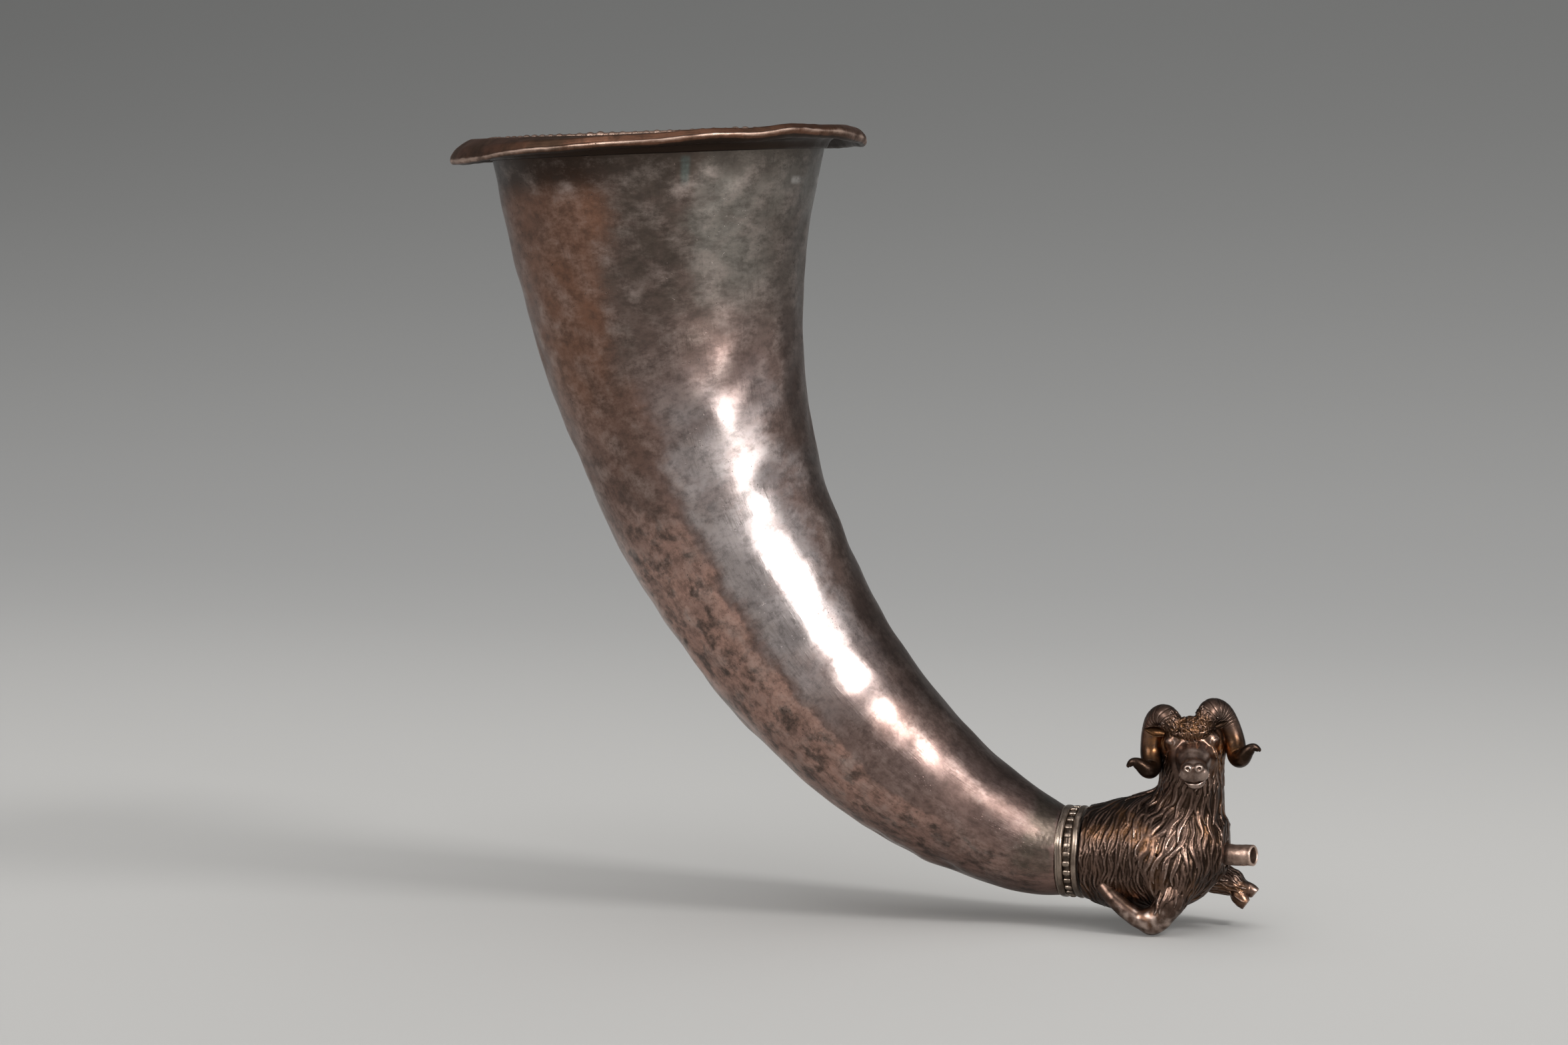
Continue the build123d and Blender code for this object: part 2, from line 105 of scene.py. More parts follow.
def ramp(values: Array, low: float, high: float) -> Array:
    """Ease from 0 at low to 1 at high; low may be above high."""
    share = np.clip((values - low) / (high - low), 0.0, 1.0)
    return share * share * (3.0 - 2.0 * share)


def ripples(points: Array, wavelength: float, seed: int, waves: int = 18) -> Array:
    """Smooth random unevenness, mostly between -1 and 1.

    Args:
        points: Points in millimetres, one per row.
        wavelength: Usual distance between crests.
        seed: Seed of the pattern.
        waves: How many plane waves are summed.

    Returns:
        One value per point.
    """
    rng = np.random.default_rng(seed)
    total = np.zeros(len(points))
    for _ in range(waves):
        heading = unit(rng.normal(size=3)) * rng.uniform(0.7, 1.4) * math.tau / wavelength
        total += np.cos(points @ heading + rng.uniform(0.0, math.tau))
    return total / math.sqrt(waves)


def waviness(points: Array, waves: Waves) -> Array:
    """Sum ripples that are given as their size, wavelength and seed."""
    return sum(size * ripples(points, wavelength, seed) for size, wavelength, seed in waves)


def even_curve(knots: Sequence[Sequence[float]] | Array, count: int) -> Array:
    """Smooth curve through knots, sampled at even steps of its length.

    Args:
        knots: Rows of values; the first two or three columns are a place.
        count: Number of samples.

    Returns:
        Rows of the same columns along the curve.
    """
    knots = np.asarray(knots, float)
    padded = np.vstack([2 * knots[0] - knots[1], knots, 2 * knots[-1] - knots[-2]])
    share = np.linspace(0.0, 1.0, 24, endpoint=False)[:, None]
    spans = []
    for first, start, end, last in zip(padded, padded[1:], padded[2:], padded[3:]):
        bend = 2 * first - 5 * start + 4 * end - last
        twist = 3 * start - first - 3 * end + last
        spans.append(start + 0.5 * share * (end - first + share * (bend + share * twist)))
    curve = np.vstack([*spans, knots[-1:]])
    run = np.concatenate([[0.0], np.cumsum(np.linalg.norm(np.diff(curve[:, :3], axis=0), axis=1))])
    steps = np.linspace(0.0, run[-1], count)
    return np.stack([np.interp(steps, run, column) for column in curve.T], axis=1)


@dataclass
class Sheet:
    """A surface: points in millimetres, four and three sided faces, and values kept at the points."""

    points: Array
    quads: Array
    triangles: Array = field(default_factory=lambda: np.zeros((0, 3), int))
    values: dict[str, Array] = field(default_factory=dict)

    @classmethod
    def loop(cls, rows: Array, ring: bool = True) -> "Sheet":
        """Weave rows of points, each closed on itself, into a surface.

        Args:
            rows: Array of (row, column, 3) points.
            ring: Whether the last row joins the first; if not, both ends are closed with fans.

        Returns:
            The closed surface, facing outwards.
        """
        count, width, _ = rows.shape
        index = np.arange(count * width).reshape(count, width)
        ahead = np.roll(index, -1, axis=1)
        last = count if ring else count - 1
        below = np.roll(index, -1, axis=0)[:last]
        below_ahead = np.roll(ahead, -1, axis=0)[:last]
        quads = np.stack([index[:last], ahead[:last], below_ahead, below], axis=-1).reshape(-1, 4)
        points = rows.reshape(-1, 3)
        if ring:
            return cls(points, quads).outward()
        points = np.vstack([points, rows[0].mean(axis=0), rows[-1].mean(axis=0)])
        first_cap = np.stack([ahead[0], index[0], np.full(width, count * width)], axis=-1)
        last_cap = np.stack([index[-1], ahead[-1], np.full(width, count * width + 1)], axis=-1)
        return cls(points, quads, np.vstack([first_cap, last_cap])).outward()

    @classmethod
    def joined(cls, sheets: Sequence["Sheet"]) -> "Sheet":
        """Put several surfaces in one.

        Args:
            sheets: Surfaces with the same values.

        Returns:
            One surface that holds them all.
        """
        starts = np.cumsum([0] + [len(sheet.points) for sheet in sheets[:-1]])
        return cls(
            np.vstack([sheet.points for sheet in sheets]),
            np.vstack([sheet.quads + start for sheet, start in zip(sheets, starts)]),
            np.vstack([sheet.triangles + start for sheet, start in zip(sheets, starts)]),
            {key: np.concatenate([sheet.values[key] for sheet in sheets]) for key in sheets[0].values},
        )

    def outward(self) -> "Sheet":
        """Turn the faces so that a closed surface faces outwards.

        Returns:
            This surface.
        """
        middle = self.points.mean(axis=0)
        a, b, c, d = (self.points[self.quads[:, corner]] - middle for corner in range(4))
        if np.einsum("ij,ij->", a + b + c + d, np.cross(c - a, d - b)) < 0.0:
            self.quads = self.quads[:, ::-1]
            self.triangles = self.triangles[:, ::-1]
        return self

    def normals(self) -> Array:
        """Directions that the points face.

        Returns:
            One unit vector per point.
        """
        a, b, c, d = (self.points[self.quads[:, corner]] for corner in range(4))
        facing = np.cross(c - a, d - b)
        total = np.zeros_like(self.points)
        for axis in range(3):
            for corner in range(4):
                total[:, axis] += np.bincount(self.quads[:, corner], facing[:, axis], len(self.points))
        return units(total)

    def mark_hollows(self, gain: float, rounds: int = 2) -> "Sheet":
        """Keep at each point how far it lies in a crease (1) or on a ridge (0); flat is a half.

        Args:
            gain: How strongly bends count.
            rounds: How often the values are averaged with their neighbours'.

        Returns:
            This surface, with the value "hollow".
        """
        start, end = np.vstack([self.quads[:, [corner, (corner + 1) % 4]] for corner in range(4)]).T
        count = len(self.points)
        normals = self.normals()
        reach = self.points[end] - self.points[start]
        rise = np.einsum("ij,ij->i", units(reach), normals[start])
        near = np.maximum(np.bincount(start, minlength=count), 1)
        bend = np.bincount(start, rise, count) / near
        for _ in range(rounds):
            bend = 0.5 * bend + 0.5 * np.bincount(start, bend[end], count) / near
        self.values["hollow"] = np.clip(0.5 + gain * bend, 0.0, 1.0)
        return self

    def soil_and_shade(self, amount: Array | float) -> "Sheet":
        """Add grime and painted shade to the value "hollow"; amounts below zero rub some off and lay painted
        light.
        """
        self.values["hollow"] = np.clip(self.values["hollow"] + amount, 0.0, 1.0)
        return self


def make_piece(name: str, sheet: Sheet, material: Material, nodes: Sequence[str]) -> None:
    """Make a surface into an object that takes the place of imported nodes.

    Args:
        name: Name of the object.
        sheet: Its surface.
        material: Its material.
        nodes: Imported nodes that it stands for.
    """
    mesh = bpy.data.meshes.new(name)
    mesh.from_pydata((sheet.points * MM).tolist(), [], sheet.quads.tolist() + sheet.triangles.tolist())
    for key, value in sheet.values.items():
        mesh.attributes.new(key, "FLOAT", "POINT").data.foreach_set("value", value.astype(np.float32))
    mesh.polygons.foreach_set("use_smooth", np.ones(len(mesh.polygons), bool))
    mesh.materials.append(material)
    piece = bpy.data.objects.new(name, mesh)
    bpy.context.scene.collection.objects.link(piece)
    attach(piece, BODY)
    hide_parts(*nodes)
    LOG.info("%s: %d points, %d faces", name, len(mesh.vertices), len(mesh.polygons))


def soft_least(first: Array, second: Array, blend: float) -> Array:
    """Least of two distances, with the corner between them rounded.

    Args:
        first: Distances to one shape.
        second: Distances to the other.
        blend: Size of the rounding.

    Returns:
        Distances to both shapes together.
    """
    if blend <= 0.0:
        return np.minimum(first, second)
    share = np.clip(0.5 + 0.5 * (second - first) / blend, 0.0, 1.0)
    return second + (first - second) * share - blend * share * (1.0 - share)


@dataclass(frozen=True)
class Ball:
    """A ball or an ellipsoid; the rows of turn are its axes."""

    centre: Array
    radii: Array
    turn: Array = field(default_factory=lambda: np.eye(3))

    def reach(self) -> tuple[Array, Array]:
        """Corners of a box that holds the shape."""
        size = np.max(self.radii)
        return self.centre - size, self.centre + size

    def distance(self, places: Sequence[Array]) -> Array:
        """Distances from places to the shape.

        Args:
            places: Places along the three axes.

        Returns:
            The distances, below zero inside.
        """
        offset = [place - middle for place, middle in zip(places, self.centre)]
        near = far = 0.0
        for axis, radius in zip(self.turn, self.radii):
            part = (axis[0] * offset[0] + axis[1] * offset[1] + axis[2] * offset[2]) / radius
            near = near + part * part
            far = far + part * part / (radius * radius)
        near = np.sqrt(near)
        return near * (near - 1.0) / np.sqrt(np.maximum(far, TINY))


@dataclass(frozen=True)
class Stroke:
    """A rounded line of varying thickness through points."""

    points: Array
    radii: Array

    def reach(self) -> tuple[Array, Array]:
        """Corners of a box that holds the shape."""
        size = np.max(self.radii)
        return self.points.min(axis=0) - size, self.points.max(axis=0) + size

    def distance(self, places: Sequence[Array]) -> Array:
        """Distances from places to the shape.

        Args:
            places: Places along the three axes.

        Returns:
            The distances, below zero inside.
        """
        nearest = None
        for start, end, wide, narrow in zip(self.points, self.points[1:], self.radii, self.radii[1:]):
            way = end - start
            dx, dy, dz = (place - middle for place, middle in zip(places, start))
            share = (dx * way[0] + dy * way[1] + dz * way[2]) / max(float(way @ way), TINY)
            share = np.clip(share, 0.0, 1.0)
            dx, dy, dz = dx - share * way[0], dy - share * way[1], dz - share * way[2]
            away = np.sqrt(dx * dx + dy * dy + dz * dz) - (wide + share * (narrow - wide))
            nearest = away if nearest is None else np.minimum(nearest, away)
        return nearest


@dataclass(frozen=True)
class OvalColumn:
    """A solid of ovals across one axis: rows of (place, half size, half size, shift of the middle)."""

    SAMPLES = 400
    SMOOTHING = 20

    axis: int
    rows: Array
    shift_axis: int

    def _tables(self, places: Array) -> list[Array]:
        """Smooth the rows' values.

        Args:
            places: Places on the axis.

        Returns:
            Both half sizes and the shift at the places.
        """
        fine = np.linspace(self.rows[0, 0], self.rows[-1, 0], self.SAMPLES)
        kernel = np.hanning(2 * self.SMOOTHING + 1)
        kernel /= kernel.sum()
        tables = []
        for column in self.rows.T[1:]:
            drawn = np.interp(fine, self.rows[:, 0], column)
            smooth = np.convolve(np.pad(drawn, self.SMOOTHING, mode="edge"), kernel, mode="valid")
            tables.append(np.interp(places, fine, smooth).astype(np.float32))
        return tables

    def reach(self) -> tuple[Array, Array]:
        """Find a box that holds the shape.

        Returns:
            Two of its corners.
        """
        size = np.abs(self.rows[:, 1:]).sum(axis=1).max()
        low = np.full(3, -size) + min(0.0, self.rows[:, 3].min())
        high = np.full(3, size) + max(0.0, self.rows[:, 3].max())
        low[self.axis], high[self.axis] = self.rows[0, 0], self.rows[-1, 0]
        return low, high

    def distance(self, places: Sequence[Array]) -> Array:
        """Distances from places to the shape.

        Args:
            places: Places along the three axes.

        Returns:
            The distances, below zero inside.
        """
        places = list(places)
        along = places[self.axis]
        half_first, half_second, shift = self._tables(along)
        places[self.shift_axis] = places[self.shift_axis] - shift
        first, second = (places[axis] for axis in range(3) if axis != self.axis)
        round_off = np.sqrt((first / half_first) ** 2 + (second / half_second) ** 2)
        side = (round_off - 1.0) * np.minimum(half_first, half_second)
        return np.maximum(side, np.maximum(self.rows[0, 0] - along, along - self.rows[-1, 0]))


Shape = Ball | Stroke | OvalColumn


class Clay:
    """A block of voxels that holds the distance to a surface, worked by adding and cutting shapes."""

    FAR = 6.0
    MARGIN = 3

    def __init__(self, low: Sequence[float], high: Sequence[float], step: float) -> None:
        """Start with an empty block.

        Args:
            low: Lower corner of the block.
            high: Upper corner of the block.
            step: Size of a voxel.
        """
        self.low = np.asarray(low, float)
        self.step = step
        self.shape = np.ceil((np.asarray(high, float) - self.low) / step).astype(int) + 1
        self.field = np.full(self.shape, self.FAR, np.float32)

    def _line(self, axis: int, first: int, last: int) -> Array:
        """Places of voxels along one axis, shaped to spread over the block."""
        view = [-1 if number == axis else 1 for number in range(3)]
        return (self.low[axis] + np.arange(first, last) * self.step).reshape(view)

    def add(self, shape: Shape, blend: float = 0.0, sign: float = 1.0) -> None:
        """Add a shape.

        Args:
            shape: What is added.
            blend: How softly it runs into what is there.
            sign: -1 cuts the shape away instead.
        """
        low, high = shape.reach()
        spare = blend + self.MARGIN * self.step
        first = np.clip(np.floor((low - spare - self.low) / self.step).astype(int), 0, self.shape)
        last = np.clip(np.ceil((high + spare - self.low) / self.step).astype(int) + 1, 0, self.shape)
        if np.any(first >= last):
            return
        where = tuple(slice(a, b) for a, b in zip(first, last))
        places = [self._line(axis, first[axis], last[axis]).astype(np.float32) for axis in range(3)]
        self.field[where] = sign * soft_least(sign * self.field[where], shape.distance(places), blend)

    def cut(self, shape: Shape, blend: float = 0.0) -> None:
        """Cut a shape away and round the cut's edge."""
        self.add(shape, blend, -1.0)

    def keep(self, axis: int, low: float, high: float) -> None:
        """Cut away all that lies outside two planes across an axis.

        Args:
            axis: Number of the axis.
            low: Place of the lower plane.
            high: Place of the upper plane.
        """
        line = self._line(axis, 0, self.shape[axis])
        outside = np.maximum(low - line, line - high).astype(np.float32)
        np.maximum(self.field, outside, out=self.field)

    def sample(self, points: Array) -> Array:
        """Distances at points inside the block.

        Args:
            points: Points, one per row.

        Returns:
            One distance per point.
        """
        place = np.clip((points - self.low) / self.step, 0.0, self.shape - 1.001)
        corner = place.astype(int)
        share = place - corner
        total = np.zeros(len(points))
        for step in np.ndindex(2, 2, 2):
            weight = np.prod(np.where(step, share, 1.0 - share), axis=1)
            total += weight * self.field[tuple((corner + step).T)]
        return total

    def slope(self, points: Array) -> Array:
        """Directions straight away from the surface at points.

        Args:
            points: Points, one per row.

        Returns:
            One unit vector per point.
        """
        steps = np.eye(3) * self.step
        rise = [self.sample(points + step) - self.sample(points - step) for step in steps]
        return units(np.stack(rise, axis=1))

    def sheet(self) -> Sheet:
        """The surface of the clay.

        Returns:
            A surface of four sided faces.
        """
        grid = openvdb.FloatGrid()
        grid.copyFromArray(self.field)
        points, quads = grid.convertToQuads(isovalue=0.0)
        return Sheet(points.astype(float) * self.step + self.low, quads.astype(int)).outward()


class Tree:
    """Short forms for filling one node tree."""

    def __init__(self, tree: bpy.types.NodeTree) -> None:
        """Take the material's tree or the group to fill."""
        self.tree = tree

    def put(
        self, kind: str, inputs: dict[str | int, object] | None = None, **settings: object
    ) -> bpy.types.Node:
        """Add a node.

        Args:
            kind: Type name of the node.
            inputs: Values or sockets for its inputs, by name or number.
            **settings: Properties of the node.

        Returns:
            The node.
        """
        node = self.tree.nodes.new(kind)
        for key, value in settings.items():
            setattr(node, key, value)
        for key, value in (inputs or {}).items():
            if isinstance(value, Socket):
                self.tree.links.new(value, node.inputs[key])
            else:
                node.inputs[key].default_value = value
        return node

    def math(self, operation: str, first: object, second: object) -> Socket:
        """Join two values or sockets by a named operation."""
        return self.put("ShaderNodeMath", {0: first, 1: second}, operation=operation).outputs[0]

    def plus(self, first: object, second: object) -> Socket:
        """Add two values or sockets."""
        return self.math("ADD", first, second)

    def minus(self, first: object, second: object) -> Socket:
        """Take the second value or socket from the first."""
        return self.math("SUBTRACT", first, second)

    def times(self, first: object, second: object) -> Socket:
        """Multiply two values or sockets."""
        return self.math("MULTIPLY", first, second)

    def noise(
        self, place: Socket, scale: object, detail: float, roughness: float = 0.5, distortion: float = 0.0
    ) -> Socket:
        """Add a cloudy noise with values round one half."""
        inputs = {"Vector": place, "Scale": scale, "Detail": detail, "Roughness": roughness}
        return self.put("ShaderNodeTexNoise", {**inputs, "Distortion": distortion}).outputs["Fac"]

    def ease(self, value: Socket, low: object, high: object) -> Socket:
        """Ease from 0 at low to 1 at high; low may be above high."""
        inputs = {"Value": value, "From Min": low, "From Max": high}
        return self.put("ShaderNodeMapRange", inputs, interpolation_type="SMOOTHSTEP").outputs["Result"]

    def mix(self, share: object, first: object, second: object) -> Socket:
        """Mix two colours.

        Args:
            share: Share of the second colour.
            first: First colour or socket.
            second: Second colour or socket.

        Returns:
            The colour's socket.
        """
        colours = [(*value, 1.0) if isinstance(value, tuple) else value for value in (first, second)]
        inputs = {0: share, 6: colours[0], 7: colours[1]}
        return self.put("ShaderNodeMix", inputs, data_type="RGBA").outputs[2]

    def value(self, name: str) -> Socket:
        """Read a value kept at the surface's points."""
        return self.put("ShaderNodeAttribute", attribute_name=name).outputs["Fac"]

    def group(self, tree: bpy.types.NodeTree, **inputs: object) -> Socket:
        """Add a shared group and give its result; names of inputs are those of the group in small letters."""
        given = {name.capitalize(): value for name, value in inputs.items()}
        return self.put("ShaderNodeGroup", given, node_tree=tree).outputs[0]


def shared_group(
    name: str, inputs: Sequence[str], output: str, fill: Callable[[Tree, dict[str, Socket]], Socket]
) -> bpy.types.NodeTree:
    """Make a node group with one number as its result.

    Args:
        name: Name of the group.
        inputs: Names of its inputs.
        output: Name of its output.
        fill: Builds the inside from the input sockets and returns the result's socket.

    Returns:
        The group.
    """
    tree = bpy.data.node_groups.new(name, "ShaderNodeTree")
    vector, number = "NodeSocketVector", "NodeSocketFloat"
    for key in inputs:
        kind = vector if key in ("Vector", "Stretch") else number
        tree.interface.new_socket(key, in_out="INPUT", socket_type=kind)
    tree.interface.new_socket(output, in_out="OUTPUT", socket_type=number)
    filled = Tree(tree)
    given = filled.put("NodeGroupInput")
    result = fill(filled, {key: given.outputs[key] for key in inputs})
    filled.put("NodeGroupOutput", {output: result})
    return tree


def fill_clouds(tree: Tree, given: dict[str, Socket]) -> Socket:
    """Fill the group of soft edged patches with smaller ones inside them.

    Args:
        tree: The group's tree.
        given: Its input sockets.

    Returns:
        The mask's socket.
    """
    noise = tree.noise(given["Vector"], given["Scale"], detail=9.0, roughness=0.66, distortion=0.2)
    low = tree.minus(given["Level"], given["Softness"])
    return tree.ease(noise, low, tree.plus(given["Level"], given["Softness"]))


def fill_scratches(tree: Tree, given: dict[str, Socket]) -> Socket:
    """Fill the group of hair lines that run one way and a few that cross them, broken into patches.

    Args:
        tree: The group's tree.
        given: Its input sockets.

    Returns:
        The height's socket.
    """
    stray_turn, patch_scale = (0.5, 0.7, 0.4), 70.0
    stretched = tree.put("ShaderNodeMapping", {"Vector": given["Vector"], "Scale": given["Stretch"]})
    lines = tree.noise(stretched.outputs[0], given["Scale"], detail=3.0, roughness=0.7)
    turned = tree.put("ShaderNodeMapping", {"Vector": given["Vector"], "Rotation": stray_turn})
    crossed = tree.put("ShaderNodeMapping", {"Vector": turned.outputs[0], "Scale": given["Stretch"]})
    strays = tree.noise(crossed.outputs[0], given["Scale"], detail=1.0)
    patches = tree.noise(given["Vector"], patch_scale, detail=3.0)
    brushed = tree.times(tree.ease(lines, 0.42, 0.72), tree.ease(patches, 0.38, 0.68))
    stray = tree.times(tree.ease(strays, 0.70, 0.76), tree.ease(patches, 0.45, 0.6))
    return tree.math("MAXIMUM", brushed, stray)


def fill_pits(tree: Tree, given: dict[str, Socket]) -> Socket:
    """Fill the group of small uneven specks that keep together in crowds.

    Args:
        tree: The group's tree.
        given: Its input sockets.

    Returns:
        The mask's socket.
    """
    crowd_scale, crowding, edge = 0.12, 0.4, 0.06
    specks = tree.noise(given["Vector"], given["Scale"], detail=3.0, roughness=0.6)
    crowds = tree.noise(given["Vector"], tree.times(given["Scale"], crowd_scale), detail=2.0)
    height = tree.plus(specks, tree.times(tree.minus(crowds, 0.5), crowding))
    level = tree.minus(0.80, tree.times(given["Amount"], 0.25))
    return tree.ease(height, level, tree.plus(level, edge))


class Effects:
    """The groups that all finishes share."""

    def __init__(self) -> None:
        """Make the groups."""
        clouds = ("Vector", "Scale", "Level", "Softness")
        self.clouds = shared_group("tarnish_clouds", clouds, "Mask", fill_clouds)
        scratches = ("Vector", "Scale", "Stretch")
        self.scratches = shared_group("hair_scratches", scratches, "Height", fill_scratches)
        pits = ("Vector", "Scale", "Amount")
        self.pits = shared_group("corrosion_pits", pits, "Mask", fill_pits)


@dataclass(frozen=True)
class Brush:
    """What a finish is laid on with: a material's tree, the shared groups and the textures' coordinates."""

    tree: Tree
    effects: Effects
    place: Socket

    def clouds(self, scale: float, level: float, softness: float = 0.1) -> Socket:
        """Add clouds of tarnish."""
        inputs = {"scale": scale, "level": level, "softness": softness}
        return self.tree.group(self.effects.clouds, vector=self.place, **inputs)


@dataclass(frozen=True)
class Finish:
    """Tarnished silver: dark in its hollows, clouded on its faces and bright where hands have rubbed it."""

    name: str
    deep: Colour
    face: Colour
    rubbed: Colour
    cloud: Colour
    cloud_level: float = 0.52
    cloud_scale: float = 55.0
    roughness: float = 0.34
    cloud_roughness: float = 0.12
    pit_roughness: float = 0.25
    grain_roughness: float = 0.3
    scratch_stretch: Point = (1.0, 1.0, 0.08)
    scratch_scale: float = 1500.0
    scratch_height: float = 0.25
    scratch_stain: float = 0.3
    pit_amount: float = 0.3
    pit_scale: float = 900.0
    pit_depth: float = 0.35
    pit_stain: float = 0.75
    grain: float = 0.3
    grain_scale: float = 300.0
    grain_height: float = 0.5
    mottling: float = 0.3
    bump: float = 0.35
    bump_distance: float = 0.0002
    # Where grain, rubbing and grime begin and where they are full
    grain_limits: Span = (0.42, 0.68)
    rubbed_limits: Span = (0.5, 0.25)
    deep_limits: Span = (0.54, 0.8)

    def place(self, tree: Tree) -> Socket:
        """Coordinates that the textures lie in."""
        return tree.put("ShaderNodeTexCoord").outputs["Object"]

    def settle(self, brush: Brush, colour: Socket, worn: Socket) -> Socket:
        """Leave the colour over the hollows and the ridges as it is."""
        return colour

    def colour(self, brush: Brush) -> tuple[Socket, Socket]:
        """Lay the colours that come before the hollows and the ridges; gives them and the clouds."""
        clouds = brush.clouds(self.cloud_scale, self.cloud_level)
        return brush.tree.mix(clouds, self.face, self.cloud), clouds

    def build(self, effects: Effects) -> Material:
        """Make the material.

        Args:
            effects: Shared groups.

        Returns:
            The material.
        """
        material = bpy.data.materials.new(self.name)
        material.use_nodes = True
        tree = Tree(material.node_tree)
        material.node_tree.nodes.clear()
        place = self.place(tree)
        brush = Brush(tree, effects, place)
        colour, clouds = self.colour(brush)

        mottle = tree.noise(place, self.grain_scale, detail=8.0, roughness=0.74)
        uneven = tree.times(tree.minus(mottle, 0.5), self.mottling)
        # The value "hollow" also carries the painted shade and painted light that some pieces lay on it.
        worn = tree.plus(tree.value("hollow"), uneven)
        grain = tree.times(tree.ease(mottle, *self.grain_limits), self.grain)
        colour = tree.mix(grain, colour, self.deep)
        colour = tree.mix(tree.ease(worn, *self.rubbed_limits), colour, self.rubbed)
        colour = tree.mix(tree.ease(worn, *self.deep_limits), colour, self.deep)
        colour = self.settle(brush, colour, worn)
        pits = tree.group(effects.pits, vector=place, scale=self.pit_scale, amount=self.pit_amount)
        colour = tree.mix(tree.times(pits, self.pit_stain), colour, self.deep)
        scratches = tree.group(
            effects.scratches, vector=place, scale=self.scratch_scale, stretch=self.scratch_stretch
        )
        colour = tree.mix(tree.times(scratches, self.scratch_stain), colour, self.deep)

        roughness = tree.plus(tree.times(clouds, self.cloud_roughness), self.roughness)
        roughness = tree.plus(roughness, tree.times(uneven, self.grain_roughness))
        roughness = tree.plus(roughness, tree.times(pits, self.pit_roughness))
        height = tree.times(scratches, self.scratch_height)
        height = tree.minus(height, tree.times(pits, self.pit_depth))
        height = tree.plus(height, tree.times(mottle, self.grain_height))
        relief = {"Height": height, "Strength": self.bump, "Distance": self.bump_distance}
        normal = tree.put("ShaderNodeBump", relief).outputs["Normal"]
        inputs = {"Base Color": colour, "Metallic": 1.0, "Roughness": roughness, "Normal": normal}
        surface = tree.put("ShaderNodeBsdfPrincipled", inputs)
        tree.put("ShaderNodeOutputMaterial", {"Surface": surface.outputs["BSDF"]})
        return material


class Patches(Enum):
    """How a zone of tarnish is broken up; the value is the scale and the level of the clouds, if any."""

    WHOLE = None
    BROAD = (85.0, 0.46)
    FINE = (170.0, 0.545)


@dataclass(frozen=True)
class Zone:
    """Tarnish in one part of the horn: where it begins, is full, is still full and has gone, each way."""

    colour: Colour
    strength: float
    along: Limits = (-2.0, -1.0, 2.0, 3.0)
    out: Limits = (-4.0, -3.0, 3.0, 4.0)
    patches: Patches = Patches.WHOLE
    patchy: float = 0.0
    wander: float = 1.0


@dataclass(frozen=True)
class HornFinish(Finish):
    """The horn's tarnish, which lies in zones along the horn and from its inner to its outer bend."""

    zones: tuple[Zone, ...] = ()
    girth: float = 0.030
    length: float = 0.280
    sway_scale: float = 38.0
    sway_along: float = 0.16
    sway_out: float = 0.75

    def place(self, tree: Tree) -> Socket:
        """Coordinates on the horn as if it were straight, so that brushing follows its bend.

        Args:
            tree: The material's tree.

        Returns:
            The coordinates' socket.
        """
        parts = (("out", self.girth), ("near", self.girth), ("along", self.length))
        straight = [tree.times(tree.value(name), size) for name, size in parts]
        return tree.put("ShaderNodeCombineXYZ", dict(enumerate(straight))).outputs[0]

    def colour(self, brush: Brush) -> tuple[Socket, Socket]:
        """Lay the zones over the plain clouds.

        Args:
            brush: What they are laid on with.

        Returns:
            The colour's socket and the clouds' socket.
        """
        tree = brush.tree
        colour, clouds = super().colour(brush)
        shift = tree.minus(tree.noise(brush.place, self.sway_scale, detail=6.0, roughness=0.65), 0.5)
        masks = {kind: brush.clouds(*kind.value) for kind in (Patches.BROAD, Patches.FINE)}
        for zone in self.zones:
            mask: object = zone.strength
            ways = (("along", self.sway_along, zone.along), ("out", self.sway_out, zone.out))
            for name, sway, limits in ways:
                way = tree.plus(tree.value(name), tree.times(shift, sway * zone.wander))
                mask = tree.times(mask, tree.ease(way, limits[0], limits[1]))
                mask = tree.times(mask, tree.ease(way, limits[3], limits[2]))
            if zone.patches is not Patches.WHOLE:
                broken = tree.times(tree.minus(1.0, masks[zone.patches]), zone.patchy)
                mask = tree.times(mask, tree.minus(1.0, broken))
            colour = tree.mix(mask, colour, zone.colour)
        return colour, clouds


@dataclass(frozen=True)
class RamFinish(Finish):
    """The ram's tarnish, with amber in its hollows."""

    amber: Colour = (0.27, 0.12, 0.046)
    amber_scale: float = 420.0
    amber_level: float = 0.47
    amber_softness: float = 0.16
    amber_limits: Span = (0.36, 0.5)

    def settle(self, brush: Brush, colour: Socket, worn: Socket) -> Socket:
        """Lay the amber.

        Args:
            brush: What it is laid on with.
            colour: The colour so far.
            worn: 1 in creases, 0 on ridges, uneven.

        Returns:
            The colour's socket.
        """
        tree = brush.tree
        patches = brush.clouds(self.amber_scale, self.amber_level, self.amber_softness)
        mask = tree.times(tree.value("amber"), tree.ease(worn, *self.amber_limits))
        return tree.mix(tree.times(mask, patches), colour, self.amber)


